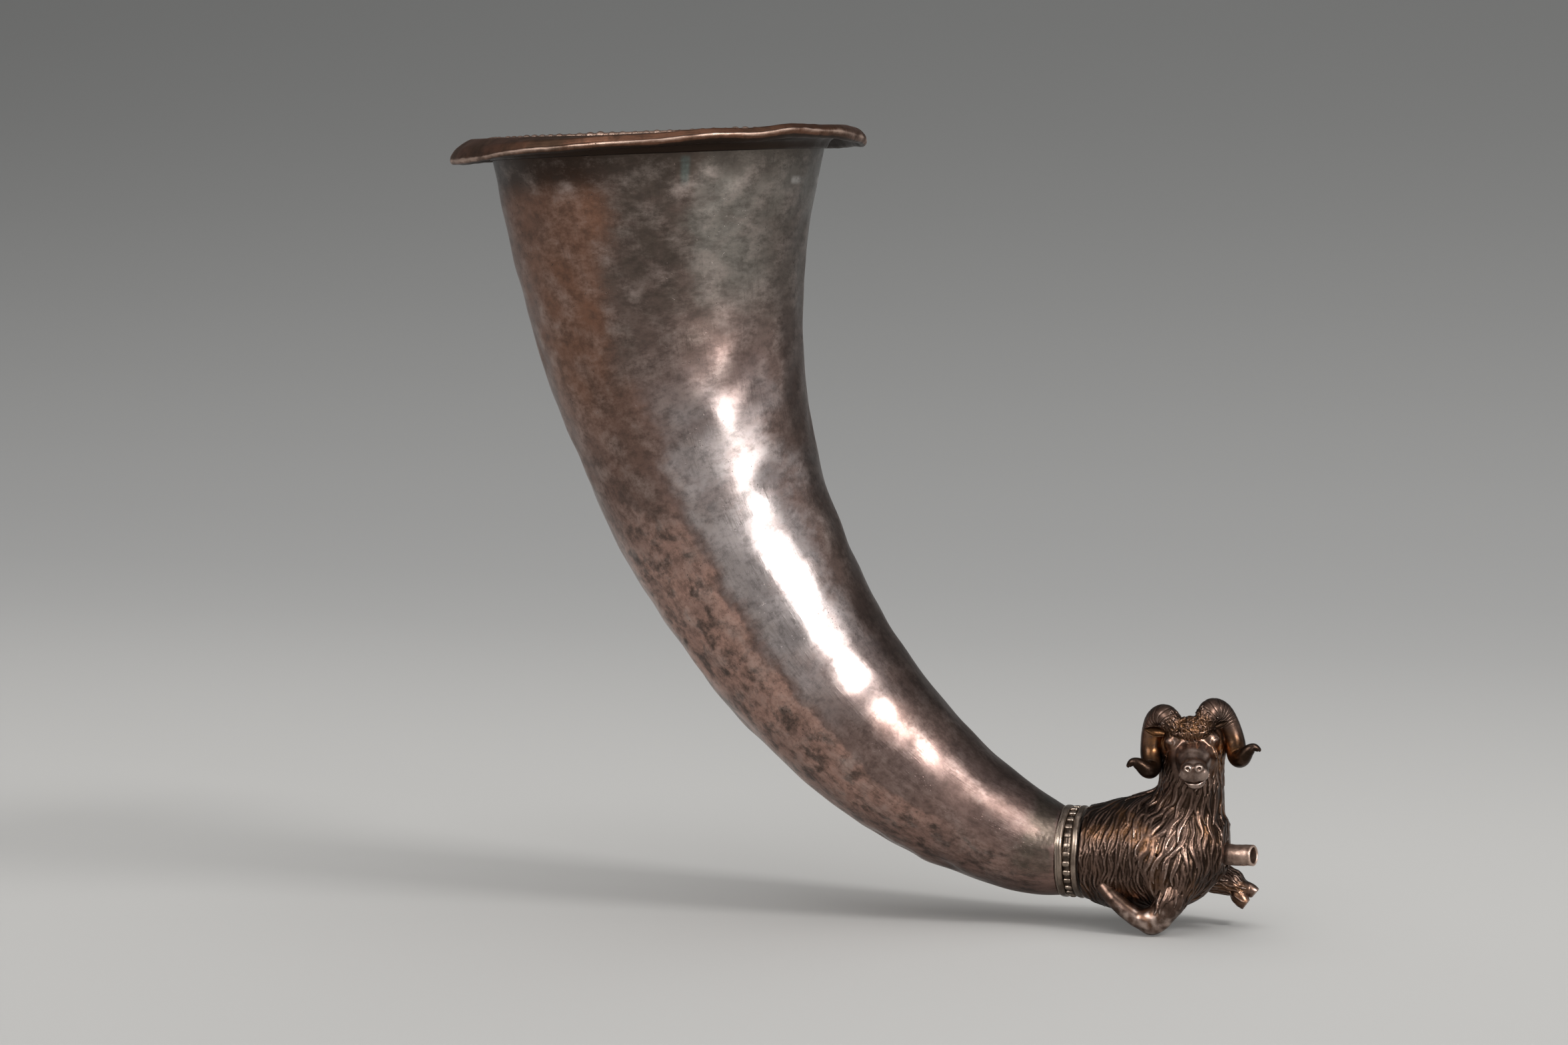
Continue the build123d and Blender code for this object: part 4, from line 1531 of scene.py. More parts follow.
@dataclass
class Ram:
    """The forepart of the lying ram, its head turned to the right, sculpted piece by piece."""

    material: Material
    spout: Spout
    body_start: float = 4.2
    body_length: float = 42.0
    half_height: float = 18.6
    half_width: float = 17.6
    chest_rise: float = 3.5
    neck_x: float = 35.8
    neck_top: float = 24.05
    overlap: float = 0.5
    pinhole: Point = (28.8, -16.6, 3.3)
    pinhole_radius: float = 0.6
    root_radius: float = 4.1
    lock_blend: float = 0.08
    fleece: float = 0.6
    sole_place: Point = (52.9, 7.0, -13.2)
    sole_radius: float = 80.0
    head_turn: float = 79.0
    head_dip: float = 23.0
    head_roll: float = 3.0
    head_forward: float = 7.5
    head_rise: float = 12.8
    crown_roll: float = 8.0
    crown_shift: float = 0.2
    skull_half_width: float = 8.0
    mouth_shift: float = 0.3
    tuft_middle: Point = (0.2, 3.6, -1.8)
    tuft_radii: Point = (5.6, 3.6, 3.6)
    tuft_curls: int = 320
    base_curls: int = 230
    brow_locks: int = 18
    left_ear: float = 0.65
    left_eye: float = 0.82
    # Blocks of clay: two corners and the size of a voxel
    skin_block: Block = ((2.0, -21.0, -21.0), (60.0, 21.0, 52.0), 0.7)
    body_block: Block = ((3.0, -19.8, -20.6), (49.0, 19.8, 25.2), 0.3)
    head_block: Block = ((24.0, -25.5, 23.0), (50.0, 9.0, 48.5), 0.22)
    right_leg_block: Block = ((7.5, -21.5, -22.0), (40.0, -4.5, 2.0), 0.24)
    left_leg_block: Block = ((28.0, 0.5, -18.5), (58.5, 16.0, 2.5), 0.24)
    leg_skin_step: float = 0.5
    # Grime on the parts, painted shade on forelock top, back, chest, low horns and ears, painted light on the
    # face
    lock_grime: float = 0.16
    tuft_painted_shade: float = 0.26
    back_painted_shade: float = 0.1
    chest_painted_shade: float = 0.1
    face_painted_light: float = 0.06
    horn_grime: float = 0.18
    low_horn_painted_shade: float = 0.2
    ear_painted_shade: float = 0.3
    hoof_grime: float = 0.12
    # Spots of amber on the head: place, size and strength
    amber_spots: tuple[tuple[float, ...], ...] = (
        (-9.5, -1.2, -2.0, 4.2, 1.0), (8.6, -4.6, -0.5, 4.6, 1.0), (0.0, 4.0, 1.0, 5.0, 0.45),
    )
    low_amber: float = 0.28
    # Stations of a horn and an ear: out from the skull's side, up and forward of the brow, and radius
    horn_stations: tuple[Station, ...] = (
        (-4.3, 2.2, -2.0, 3.0), (-3.2, 5.4, -1.0, 3.4), (-1.0, 8.0, -2.6, 3.7), (1.5, 6.8, -4.8, 3.6),
        (3.3, 3.0, -6.0, 3.4), (4.6, -2.6, -5.4, 3.2), (4.9, -6.6, -2.2, 2.9), (6.2, -6.8, 1.0, 2.5),
        (8.3, -4.6, 2.3, 1.9), (10.1, -3.7, 2.7, 1.3), (11.5, -4.5, 2.8, 0.75), (11.8, -5.1, 2.8, 0.25),
    )
    ear_stations: tuple[Station, ...] = (
        (-0.3, 3.6, 0.9, 0.9), (1.2, 4.1, 0.5, 1.5), (2.6, 4.4, 0.1, 1.6), (4.0, 4.8, -0.3, 1.1),
        (5.5, 5.2, -0.7, 0.25),
    )
    # Grooves across a horn: distance, width, depth, and where along it they fade
    groove_pitch: float = 1.25
    groove_width: float = 0.1
    groove_depth: float = 0.028
    groove_fade: Span = (0.46, 0.34)
    chest_locks: LockKind = LockKind(1.5, 5.0, 10.5, 2, 0.52, 0.3, 0.7)
    flank_locks: LockKind = LockKind(0.9, 5.5, 10.0, 1, 0.41, 0.06, 0.55)
    forearm_locks: LockKind = LockKind(1.3, 4.2, 8.0, 2, 0.46, 0.1, 0.5)
    cheek_locks: LockKind = LockKind(1.1, 3.0, 4.6, 2, 0.36, 0.3, 0.25)
    leg_locks: LockKind = LockKind(0.9, 3.4, 5.4, 1, 0.38, 0.14, 0.3)

    def __post_init__(self) -> None:
        """Find the head's frames."""
        turn, dip = math.radians(self.head_turn), math.radians(self.head_dip)
        roll, crown = math.radians(self.head_roll), math.radians(self.crown_roll)
        forward = np.array([math.cos(turn), -math.sin(turn), 0.0])
        left = np.array([math.sin(turn), math.cos(turn), 0.0])
        up = np.array([0.0, 0.0, 1.0])
        face = forward * math.cos(dip) - up * math.sin(dip)
        face_left = left * math.cos(roll) + np.cross(face, left) * math.sin(roll)
        neck = np.array([self.neck_x, 0.0, self.neck_top])
        brow = neck + forward * self.head_forward + up * self.head_rise
        self.head = Frame(brow, np.array([face_left, np.cross(face, face_left), face]))
        crown_left = left * math.cos(crown) + up * math.sin(crown)
        crown_up = np.cross(forward, crown_left)
        self.crown = Frame(brow - left * self.crown_shift, np.array([crown_left, crown_up, forward]))

    def _trunk(self) -> tuple[OvalColumn, OvalColumn]:
        """Form the barrel from the collar to the chest, and the neck, which spreads towards the chest.

        Returns:
            Their columns, without the fleece.
        """
        tall, wide, rise = self.half_height, self.half_width, self.chest_rise
        barrel = np.array(
            [
                (0.0, 14.6, 14.6, 0.0), (0.18, 0.92 * wide, 0.91 * tall, -0.1 * rise),
                (0.40, wide, tall, 0.0), (0.64, 0.98 * wide, 0.97 * tall, 0.2 * rise),
                (0.84, 0.77 * wide, 0.79 * tall, 0.6 * rise), (1.0, 7.0, 8.5, rise),
            ]
        )
        barrel[:, 0] = self.body_start + barrel[:, 0] * self.body_length
        barrel[:, 1:3] -= self.fleece
        share = np.linspace(-0.05, 1.2, 8)
        spread = 4.0 * np.maximum(0.0, 1.0 - share) ** 2
        halves = (9.6 + spread - self.fleece, 10.0 + spread - self.fleece)
        neck = np.stack([share * 24.0, *halves, self.neck_x - spread], axis=1)
        return OvalColumn(0, barrel, 2), OvalColumn(2, neck, 0)

    def _model_skin(self, clay: Clay) -> None:
        """Model the ram without its fleece, horns, ears and legs.

        Args:
            clay: The block to work.
        """
        head = self.head
        barrel, neck = self._trunk()
        clay.add(barrel)
        clay.add(neck, 4.0)
        # Nape, shoulders and throat
        clay.add(CUP.stroke([(16.0, 0.0, 7.0, 9.5), (23.0, 0.0, 10.6, 8.6), (30.0, 0.0, 15.4, 7.0)]), 2.0)
        for side in Side:
            clay.add(CUP.ball((31.5, side.value * 11.6, -3.0), (8.5, 5.6, 10.5)), 3.0)
        clay.add(CUP.stroke([(35.8, 0.0, 18.0, 8.6), (36.0, -1.2, 26.0, 8.6), (36.4, -3.0, 33.0, 7.4)]), 3.0)
        # Skull, nose, brow, bridge, muzzle and jaw
        clay.add(head.ball((0.0, -3.4, -4.4), (7.3, 7.2, 6.0)), 2.0)
        clay.add(head.stroke([(0.0, -4.4, -1.0, 5.7), (0.2, -4.1, 5.0, 4.9), (0.3, -3.7, 10.4, 3.7)]), 1.5)
        clay.add(head.ball((0.0, -0.2, -2.4), (7.0, 4.4, 4.2)), 1.2)
        clay.add(head.ball((0.3, -2.6, 3.0), (5.2, 3.3, 6.2)), 1.2)
        clay.add(head.ball((0.3, -3.7, 11.4), (4.5, 3.8, 3.1)), 1.0)
        clay.add(head.stroke([(0.0, -8.6, 0.0, 3.6), (0.3, -7.9, 6.5, 3.0), (0.4, -7.2, 11.0, 2.2)]), 1.6)
        # The upper part of the folded leg, and the cheeks
        clay.add(CUP.stroke([(34.0, -10.6, -4.0, 5.0), (32.6, -13.2, -10.4, 4.2)]), 2.0)
        for side in Side:
            clay.add(head.ball((5.0 * side.value, -5.4, 0.2), (2.6, 4.2, 4.4)), 1.6)
            clay.add(head.ball((6.9 * side.value, -4.6, -4.8), (2.9, 6.6, 4.2)), 1.6)

    def _model_face(self, clay: Clay) -> None:
        """Model the features of the face.

        Args:
            clay: The block to work.
        """
        muzzle = Frame(self.head.at((self.mouth_shift, 0.0, 0.0)), self.head.axes)
        clay.add(self.head.ball(self.tuft_middle, self.tuft_radii), 0.5)
        for side in Side:
            clay.add(muzzle.ball((2.0 * side.value, -3.3, 13.1), (2.4, 2.3, 1.6)), 0.9)
            clay.add(muzzle.ball((1.6 * side.value, -0.8, 13.4), (1.35, 1.05, 1.15)), 0.7)
        lower_lip = [
            (-1.7, -7.2, 12.0, 0.9), (-0.6, -7.2, 12.9, 1.2), (1.1, -7.15, 12.9, 1.2), (2.4, -7.0, 11.8, 0.9),
        ]
        clay.add(muzzle.stroke(even_curve(lower_lip, 14)), 0.6)
        mouth = np.array(
            [
                (-2.8, -6.3, 12.4, 0.2), (-2.0, -6.0, 13.5, 0.36), (-0.6, -5.7, 14.5, 0.56),
                (1.2, -5.6, 14.5, 0.6), (2.5, -5.65, 13.6, 0.42), (3.4, -5.8, 12.2, 0.2),
            ]
        )
        clay.cut(muzzle.stroke(mouth), 0.15)
        clay.cut(muzzle.stroke(mouth - (0.0, 0.0, 0.7, 0.0)), 0.15)
        cleft = [(0.0, -1.7, 14.9, 0.25), (0.05, -3.4, 15.1, 0.3), (0.0, -5.2, 14.9, 0.3)]
        clay.cut(muzzle.stroke(cleft), 0.2)
        for side in Side:
            nostril = [(1.25 * side.value, -1.05, 14.6, 0.42), (1.75 * side.value, -0.6, 14.2, 0.5)]
            clay.cut(muzzle.stroke(nostril), 0.15)
            self._model_eye(clay, side)

    def _model_eye(self, clay: Clay, side: Side) -> None:
        """Model one eye: the swelling round it, the ball and the edge of the lids.

        Args:
            clay: The block to work.
            side: The eye's side.
        """
        head = self.head
        look = unit((0.6 * side.value, 0.3, 0.74))
        level = unit(np.cross((0.0, 1.0, 0.0), look))
        rise = np.cross(look, level)
        axes = np.array([level, rise, look]) @ head.axes
        swelling = np.array([5.8 * side.value, 0.0, -0.6])
        size = self.left_eye if side is Side.LEFT else 1.0
        clay.add(Ball(head.at(swelling), size * np.array([2.8, 3.1, 2.2]), axes), 1.0)
        eye = swelling + size * 1.25 * look
        clay.add(Ball(head.at(eye), size * np.array([1.8, 1.3, 1.25]), axes), 0.1)
        turn = np.linspace(0.0, math.tau, 25)[:, None]
        almond = 1.35 * np.sign(np.sin(turn)) * np.abs(np.sin(turn)) ** 1.3
        ring = eye + size * (0.35 * look + 1.95 * np.cos(turn) * level + almond * rise)
        clay.add(Stroke(head.at(ring), np.full(len(ring), 0.22)), 0.15)

    def _forelock(self) -> list[Stroke]:
        """Lay small curls between the horns and on their bases, and locks that hang over the brow.

        Returns:
            Strokes of all curls and locks.
        """
        rng = np.random.default_rng(61)
        strokes = []
        middle, radii = np.array(self.tuft_middle), np.array(self.tuft_radii)
        for _ in range(self.tuft_curls):
            aside, rise = rng.uniform(-1.3, 1.3), rng.uniform(-0.9, 1.8)
            level = math.cos(aside)
            facing = np.array([math.sin(aside), level * math.sin(rise), level * math.cos(rise)])
            strokes.append(self._curl(self.head.at(middle + radii * facing), facing @ self.head.axes, rng))
        front = self.crown.axes[2]
        for side in Side:
            path, way = self._horn_path(side)
            for _ in range(self.base_curls):
                number = int(len(path) * rng.uniform(0.02, 0.17))
                around = rng.uniform(-1.25, 1.25)
                facing = math.cos(around) * front + math.sin(around) * unit(np.cross(way[number], front))
                strokes.append(self._curl(path[number, :3] + path[number, 3] * facing, facing, rng))
        share = np.linspace(0.0, 1.0, 8)
        radii = 0.36 * np.interp(share, (0.0, 0.5, 1.0), (0.8, 1.0, 0.55))
        for number in range(self.brow_locks):
            across = -3.8 + 7.6 * (number + 0.5) / self.brow_locks + rng.uniform(-0.2, 0.2)
            length = 3.6 - 0.15 * across**2 + rng.uniform(-1.0, 0.6)
            sway = 0.35 * np.sin(math.tau * (0.8 * share + rng.uniform())) - 0.25 * across * share**2
            ahead = 2.2 - 0.045 * across**2 + 0.9 * share - 0.6 * share**2
            points = np.stack([across + sway, 4.2 - length * share, ahead], axis=1)
            strokes.append(Stroke(self.head.at(points), radii))
        return strokes

    @staticmethod
    def _curl(place: Array, facing: Array, rng: np.random.Generator) -> Stroke:
        """Lay a small open curl on a surface.

        Args:
            place: Its middle.
            facing: The way that the surface faces.
            rng: Source of its size and turn.

        Returns:
            The curl.
        """
        level = unit(np.cross((0.1, 0.2, 1.0), facing))
        steep = np.cross(facing, level)
        start, way = rng.uniform(0.0, math.tau), rng.choice([-1.0, 1.0])
        bend = (start + way * rng.uniform(1.4, 4.6) * np.linspace(0.0, 1.0, 8))[:, None]
        ring = (np.cos(bend) * level + np.sin(bend) * steep) * np.linspace(1.0, 0.5, 8)[:, None]
        points = place + rng.uniform(0.4, 1.1) * ring + rng.uniform(-0.12, 0.2) * facing
        return Stroke(points, np.linspace(0.22, 0.1, 8) * rng.uniform(0.8, 1.25))

    def _lie(self, points: Array) -> Array:
        """Find how the fleece lies: down, back along the flanks, and together above the knees.

        Args:
            points: Points on the skin, one per row.

        Returns:
            One direction per point.
        """
        x, y, z = points.T
        shoulder = np.exp(-(((x - 31.0) / 7.0) ** 2)) * ramp(z, -4.0, 6.0)
        way = np.stack([-0.45 * shoulder - 0.06, 0.0 * y, -np.ones(len(x))], axis=1)
        low = ramp(z, 0.0, -9.0)[:, None] * ramp(x, 16.0, 26.0)[:, None]
        knee = units(np.stack([31.0 - x, np.sign(y) * 14.0 - y, -24.0 - z], axis=1))
        way = way * (1.0 - low) + knee * low
        return way + 0.12 * np.stack([ripples(points, 9.0, 71), ripples(points, 9.0, 72), 0.0 * x], axis=1)

    def _fleece(self, skin: Clay) -> list[Stroke]:
        """Lay the locks of body, neck and cheeks.

        Args:
            skin: The ram without its fleece.

        Returns:
            Strokes of all strands.
        """
        coat = Coat(skin, self._lie, 67)
        x, y, z = coat.places.T
        local = (coat.places - self.head.origin) @ self.head.axes.T
        tube = coat.places - self.spout.chest
        along = tube @ self.spout.heading
        off_tube = np.linalg.norm(tube - along[:, None] * self.spout.heading, axis=1)
        clear = (off_tube > 4.4) | (along < -9.0)
        belly = (coat.facing[:, 2] < -0.55) & (x < 30.0) | (coat.facing[:, 2] < -0.8)
        jaw = np.where(local[:, 2] < 8.0, -8.6, -10.0) + 3.5 * ramp(np.abs(local[:, 0]), 3.5, 6.5)
        bare_face = (local[:, 2] > 0.6) & (local[:, 1] > jaw)
        on_head = (z > 24.0) & (bare_face | (local[:, 1] > 0.5))
        rear = x < self.body_start + 0.6
        open_skin = clear & ~belly & ~on_head & ~rear
        cheeks = open_skin & (z > 25.0)
        front = open_skin & ~cheeks & (x > 27.0 - 0.25 * z)
        flank = open_skin & ~cheeks & ~front
        strokes = coat.locks(flank, self.flank_locks)
        strokes += coat.locks(front, self.chest_locks)
        strokes += coat.locks(cheeks, self.cheek_locks)
        return strokes

    def _finish_sheet(self, clay: Clay, skin: Clay, joint: float) -> Sheet:
        """Take the clay's surface, open it at the neck's joint, and lay grime, painted shade and painted
        light on it.

        Args:
            clay: The finished clay.
            skin: The ram without its fleece.
            joint: Height of the neck's joint.

        Returns:
            The surface.
        """
        sheet = clay.sheet()
        level = np.abs(sheet.points[:, 2] - joint) < 0.75 * clay.step
        sheet.quads = sheet.quads[~level[sheet.quads].all(axis=1)]
        sheet.mark_hollows(1.5, 1)
        depth = skin.sample(sheet.points)
        tuft = np.linalg.norm(sheet.points - self.head.at(self.tuft_middle), axis=1)
        x, _, z = sheet.points.T
        across, rise, ahead = ((sheet.points - self.head.origin) @ self.head.axes.T).T
        # Grime between the locks, painted light on the face, and painted shade on the forelock's top, the
        # back and the chest
        face = ramp(ahead, 0.0, 3.0) * ramp(rise, -9.0, -6.5) * ramp(np.abs(across), 7.0, 5.0)
        grime = self.lock_grime * ramp(depth, 0.75, 0.1) * (1.0 - face) - self.face_painted_light * face
        grime = grime + self.tuft_painted_shade * ramp(tuft, 11.0, 8.0) * ramp(rise, 1.4, 2.6)
        grime = grime + self.back_painted_shade * ramp(sheet.normals()[:, 2], 0.4, 0.9) * ramp(x, 32.0, 26.0)
        return sheet.soil_and_shade(grime + self.chest_painted_shade * ramp(x, 33.0, 40.0) * ramp(z, 24.0, 18.0))

    def _set(self, name: str, sheet: Sheet, node: str) -> None:
        """Make a piece, with amber tarnish by the ears, cheeks and forelock and below the neck's edge.

        Args:
            name: Name of the piece.
            sheet: Its surface.
            node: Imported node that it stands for.
        """
        amber = np.zeros(len(sheet.points))
        for *place, size, strength in self.amber_spots:
            far = np.linalg.norm(sheet.points - self.head.at(place), axis=1)
            amber = np.maximum(amber, strength * np.exp(-((far / size) ** 2)))
        low = ramp(sheet.points[:, 2], 22.0, 14.0)
        blots = ramp(ripples(sheet.points, 13.0, 91), 0.0, 1.2)
        sheet.values["amber"] = np.maximum(amber, self.low_amber * low * blots)
        make_piece(name, sheet, self.material, [node])

    def build(self) -> None:
        """Sculpt the ram's pieces."""
        skin = Clay(*self.skin_block)
        self._model_skin(skin)
        strokes = self._fleece(skin)
        LOG.info("fleece: %d strands", len(strokes))

        body = Clay(*self.body_block)
        self._model_skin(body)
        for stroke in strokes:
            body.add(stroke, self.lock_blend)
        body.keep(0, self.body_start, 60.0)
        root = self.spout.chest + self.spout.heading * np.array([[-5.0], [3.0]])
        body.cut(Stroke(root, np.full(2, self.root_radius)), 0.8)
        body.cut(CUP.ball(self.pinhole, np.full(3, self.pinhole_radius)), 0.1)
        body_top, head_bottom = self.neck_top + self.overlap, self.neck_top - self.overlap
        body.keep(2, -40.0, body_top)
        self._set("ram_body_fleece", self._finish_sheet(body, skin, body_top), "ram_body")

        head = Clay(*self.head_block)
        self._model_skin(head)
        self._model_face(head)
        for stroke in strokes + self._forelock():
            head.add(stroke, self.lock_blend)
        head.keep(2, head_bottom, 60.0)
        self._set("ram_head_chased", self._finish_sheet(head, skin, head_bottom), "ram_head")

        for side in Side:
            name = side.name.lower()
            self._set(f"ram_horn_{name}_ridged", self._horn(side), f"ram_horn_{name}")
            self._set(f"ear_{name}_hollow", self._ear(side), f"ear_{name}")
        self._set("foreleg_right_folded", self._folded_leg(), "foreleg_right")
        self._set("foreleg_left_stretched", self._stretched_leg(), "foreleg_left")

    def _crown_path(self, stations: Array, side: Side, count: int) -> tuple[Array, Array]:
        """Trace the middle line of a horn or an ear.

        Args:
            stations: Rows of out from the skull's side, up, forward and radius.
            side: The ram's side.
            count: Number of points.

        Returns:
            The line's points with their radii, and how far it runs at each.
        """
        out = side.value * (self.skull_half_width + stations[:, 0])
        places = self.crown.at(np.stack([out, stations[:, 1], stations[:, 2]], axis=1))
        curve = even_curve(np.hstack([places, stations[:, 3:]]), count)
        return curve, np.gradient(curve[:, :3], axis=0)

    def _horn_path(self, side: Side) -> tuple[Array, Array]:
        """A horn's middle line with its radii, and the ways that it runs."""
        curve, way = self._crown_path(np.array(self.horn_stations), side, 460)
        return curve, units(way)

    def _horn(self, side: Side) -> Sheet:
        """Form a curled horn with grooves across its upper part.

        Args:
            side: The horn's side.

        Returns:
            Its surface.
        """
        curve, way = self._horn_path(side)
        path, radius = curve[:, :3], curve[:, 3]
        across = unit(np.cross(way[0], self.crown.axes[2]))
        turn = full_turn(40)[:, None]
        run = np.linspace(0.0, 1.0, len(path))
        length = np.linalg.norm(np.diff(path, axis=0), axis=1).sum()
        rows = []
        for place, heading, size, share, fade in zip(path, way, radius, run, ramp(run, *self.groove_fade)):
            across = unit(across - heading * (across @ heading))
            other = np.cross(heading, across)
            phase = (share * length + 0.5 * np.cos(turn)) / self.groove_pitch
            groove = np.exp(-(((phase % 1.0 - 0.5) / self.groove_width) ** 2))
            ring = size * (1.0 - self.groove_depth * fade * groove)
            rows.append(place + ring * (np.cos(turn) * across + np.sin(turn) * other))
        sheet = Sheet.loop(np.array(rows), ring=False).mark_hollows(3.0, 1)
        # Grime over the whole horn, and painted shade on its lower turns behind the ear
        low = ramp((sheet.points - self.crown.origin) @ self.crown.axes[1], 4.0, -3.0)
        return sheet.soil_and_shade(self.horn_grime + self.low_horn_painted_shade * low)

    def _ear(self, side: Side) -> Sheet:
        """Form a leaf shaped ear, hollow towards the front.

        Args:
            side: The ear's side.

        Returns:
            Its surface.
        """
        stations = np.array(self.ear_stations)
        if side is Side.LEFT:
            root = np.array([*stations[0, :3], 0.0])
            stations = root + (stations - root) * self.left_ear
        curve, way = self._crown_path(stations, side, 48)
        path, half = curve[:, :3], curve[:, 3]
        front = self.crown.axes[2]
        across = np.linspace(-1.0, 1.0, 25)
        rows = []
        for place, heading, size in zip(path, way, half):
            rise = unit(np.cross(front, heading)) * side.value
            face = unit(np.cross(heading, rise)) * side.value
            dish = -0.75 * size * (1.0 - across**2) + 0.25 * size
            back = dish - (0.28 + 0.1 * size) * (1.0 - 0.6 * across**2)
            near = place + size * across[:, None] * rise + dish[:, None] * face
            far = place + size * across[::-1, None] * rise + back[::-1, None] * face
            rows.append(np.vstack([near, far]))
        # Painted shade over the whole ear, which darkens its hollow front
        return Sheet.loop(np.array(rows), ring=False).mark_hollows(0.4, 1).soil_and_shade(self.ear_painted_shade)

    def _leg(
        self, block: Block, shapes: Sequence[tuple[Shape, float]], heading: Array, seed: int
    ) -> tuple[Clay, Coat]:
        """Model a bare leg.

        Args:
            block: Its block of clay.
            shapes: Its shapes and how softly each runs into those before it.
            heading: The way that its wool lies.
            seed: Seed of the wool.

        Returns:
            The clay, and the coat for its wool.
        """
        skin, clay = Clay(*block[:2], self.leg_skin_step), Clay(*block)
        for shape, blend in shapes:
            skin.add(shape, blend)
            clay.add(shape, blend)
        return clay, Coat(skin, lambda points: np.broadcast_to(heading, points.shape), seed)

    def _folded_leg(self) -> Sheet:
        """Model the right foreleg, folded under the body with its knee on the ground.

        Returns:
            Its surface.
        """
        forearm = np.array(
            [
                (33.4, -11.6, -6.5, 5.4), (32.0, -13.8, -11.2, 4.8), (29.6, -14.8, -15.2, 4.0),
                (27.0, -15.0, -17.4, 3.4),
            ]
        )
        cannon = [
            (26.4, -15.0, -17.4, 3.3), (22.6, -15.2, -16.2, 2.9), (18.8, -15.0, -13.8, 2.7),
            (15.2, -14.4, -11.0, 2.5), (12.0, -12.6, -8.0, 2.5),
        ]
        knee = CUP.ball((27.4, -15.4, -16.6), (4.6, 3.4, 4.0))
        shapes = [(CUP.stroke(forearm), 0.0), (CUP.stroke(cannon), 1.2), (knee, 1.2)]
        clay, coat = self._leg(self.right_leg_block, shapes, unit(forearm[2, :3] - forearm[0, :3]), 85)
        x, _, z = coat.places.T
        wool = (z > -8.2 + 0.35 * np.abs(x - 31.0)) & (x > 26.0) & (coat.facing[:, 1] < 0.4)
        for stroke in coat.locks(wool, self.forearm_locks):
            clay.add(stroke, 0.1)
        clay.keep(2, -21.0, 40.0)
        sheet = clay.sheet().mark_hollows(1.3, 1)
        worn = 0.16 * ramp(sheet.points[:, 2], -11.0, -15.0) - 0.1
        return sheet.soil_and_shade(-worn - 0.07 * ripples(sheet.points, 2.6, 87))

    def _stretched_leg(self) -> Sheet:
        """Model the left foreleg, stretched forward, with short wool and a cloven hoof.

        Returns:
            Its surface.
        """
        limb = np.array(
            [(36.0, 8.0, -5.0, 5.6), (42.0, 8.6, -7.0, 5.0), (46.6, 8.4, -8.4, 4.0), (49.6, 7.9, -10.2, 2.9)]
        )
        shapes: list[tuple[Shape, float]] = [(CUP.stroke(limb), 0.0)]
        # Toes: middle, and the way that they point
        toes = (((51.6, 8.8, -10.4), (0.94, 0.0, -0.34)), ((50.0, 6.0, -12.8), (0.66, -0.05, -0.75)))
        for middle, way in toes:
            way = unit(way)
            side = unit(np.cross(way, (0.0, 1.0, 0.0)))
            axes = np.array([way, np.cross(side, way), side])
            shapes.append((Ball(np.array(middle), np.array([4.2, 1.9, 2.3]), axes), 0.3))
        clay, coat = self._leg(self.left_leg_block, shapes, unit(limb[-1, :3] - limb[0, :3]), 83)
        wool = (coat.places[:, 0] < 47.5) & (coat.places[:, 0] > 38.0)
        for stroke in coat.locks(wool, self.leg_locks):
            clay.add(stroke, self.lock_blend)
        sole = self.sole_place + self.sole_radius * unit((0.8, 0.0, -0.6))
        clay.cut(CUP.ball(sole, np.full(3, self.sole_radius)), 0.15)
        sheet = clay.sheet().mark_hollows(1.4, 1)
        return sheet.soil_and_shade(self.hoof_grime * ramp(sheet.points[:, 0], 53.0, 50.0))


class Lit(Enum):
    """What a light falls on."""

    ALL = "all"
    METAL = "metal"
    PAPER = "paper"


@dataclass(frozen=True)
class Softbox:
    """A rectangular light: place and sides in metres, watts, degrees of spread, and what it falls on."""

    name: str
    place: Point
    size: Span
    power: float
    spread: float = 180.0
    lights: Lit = Lit.ALL


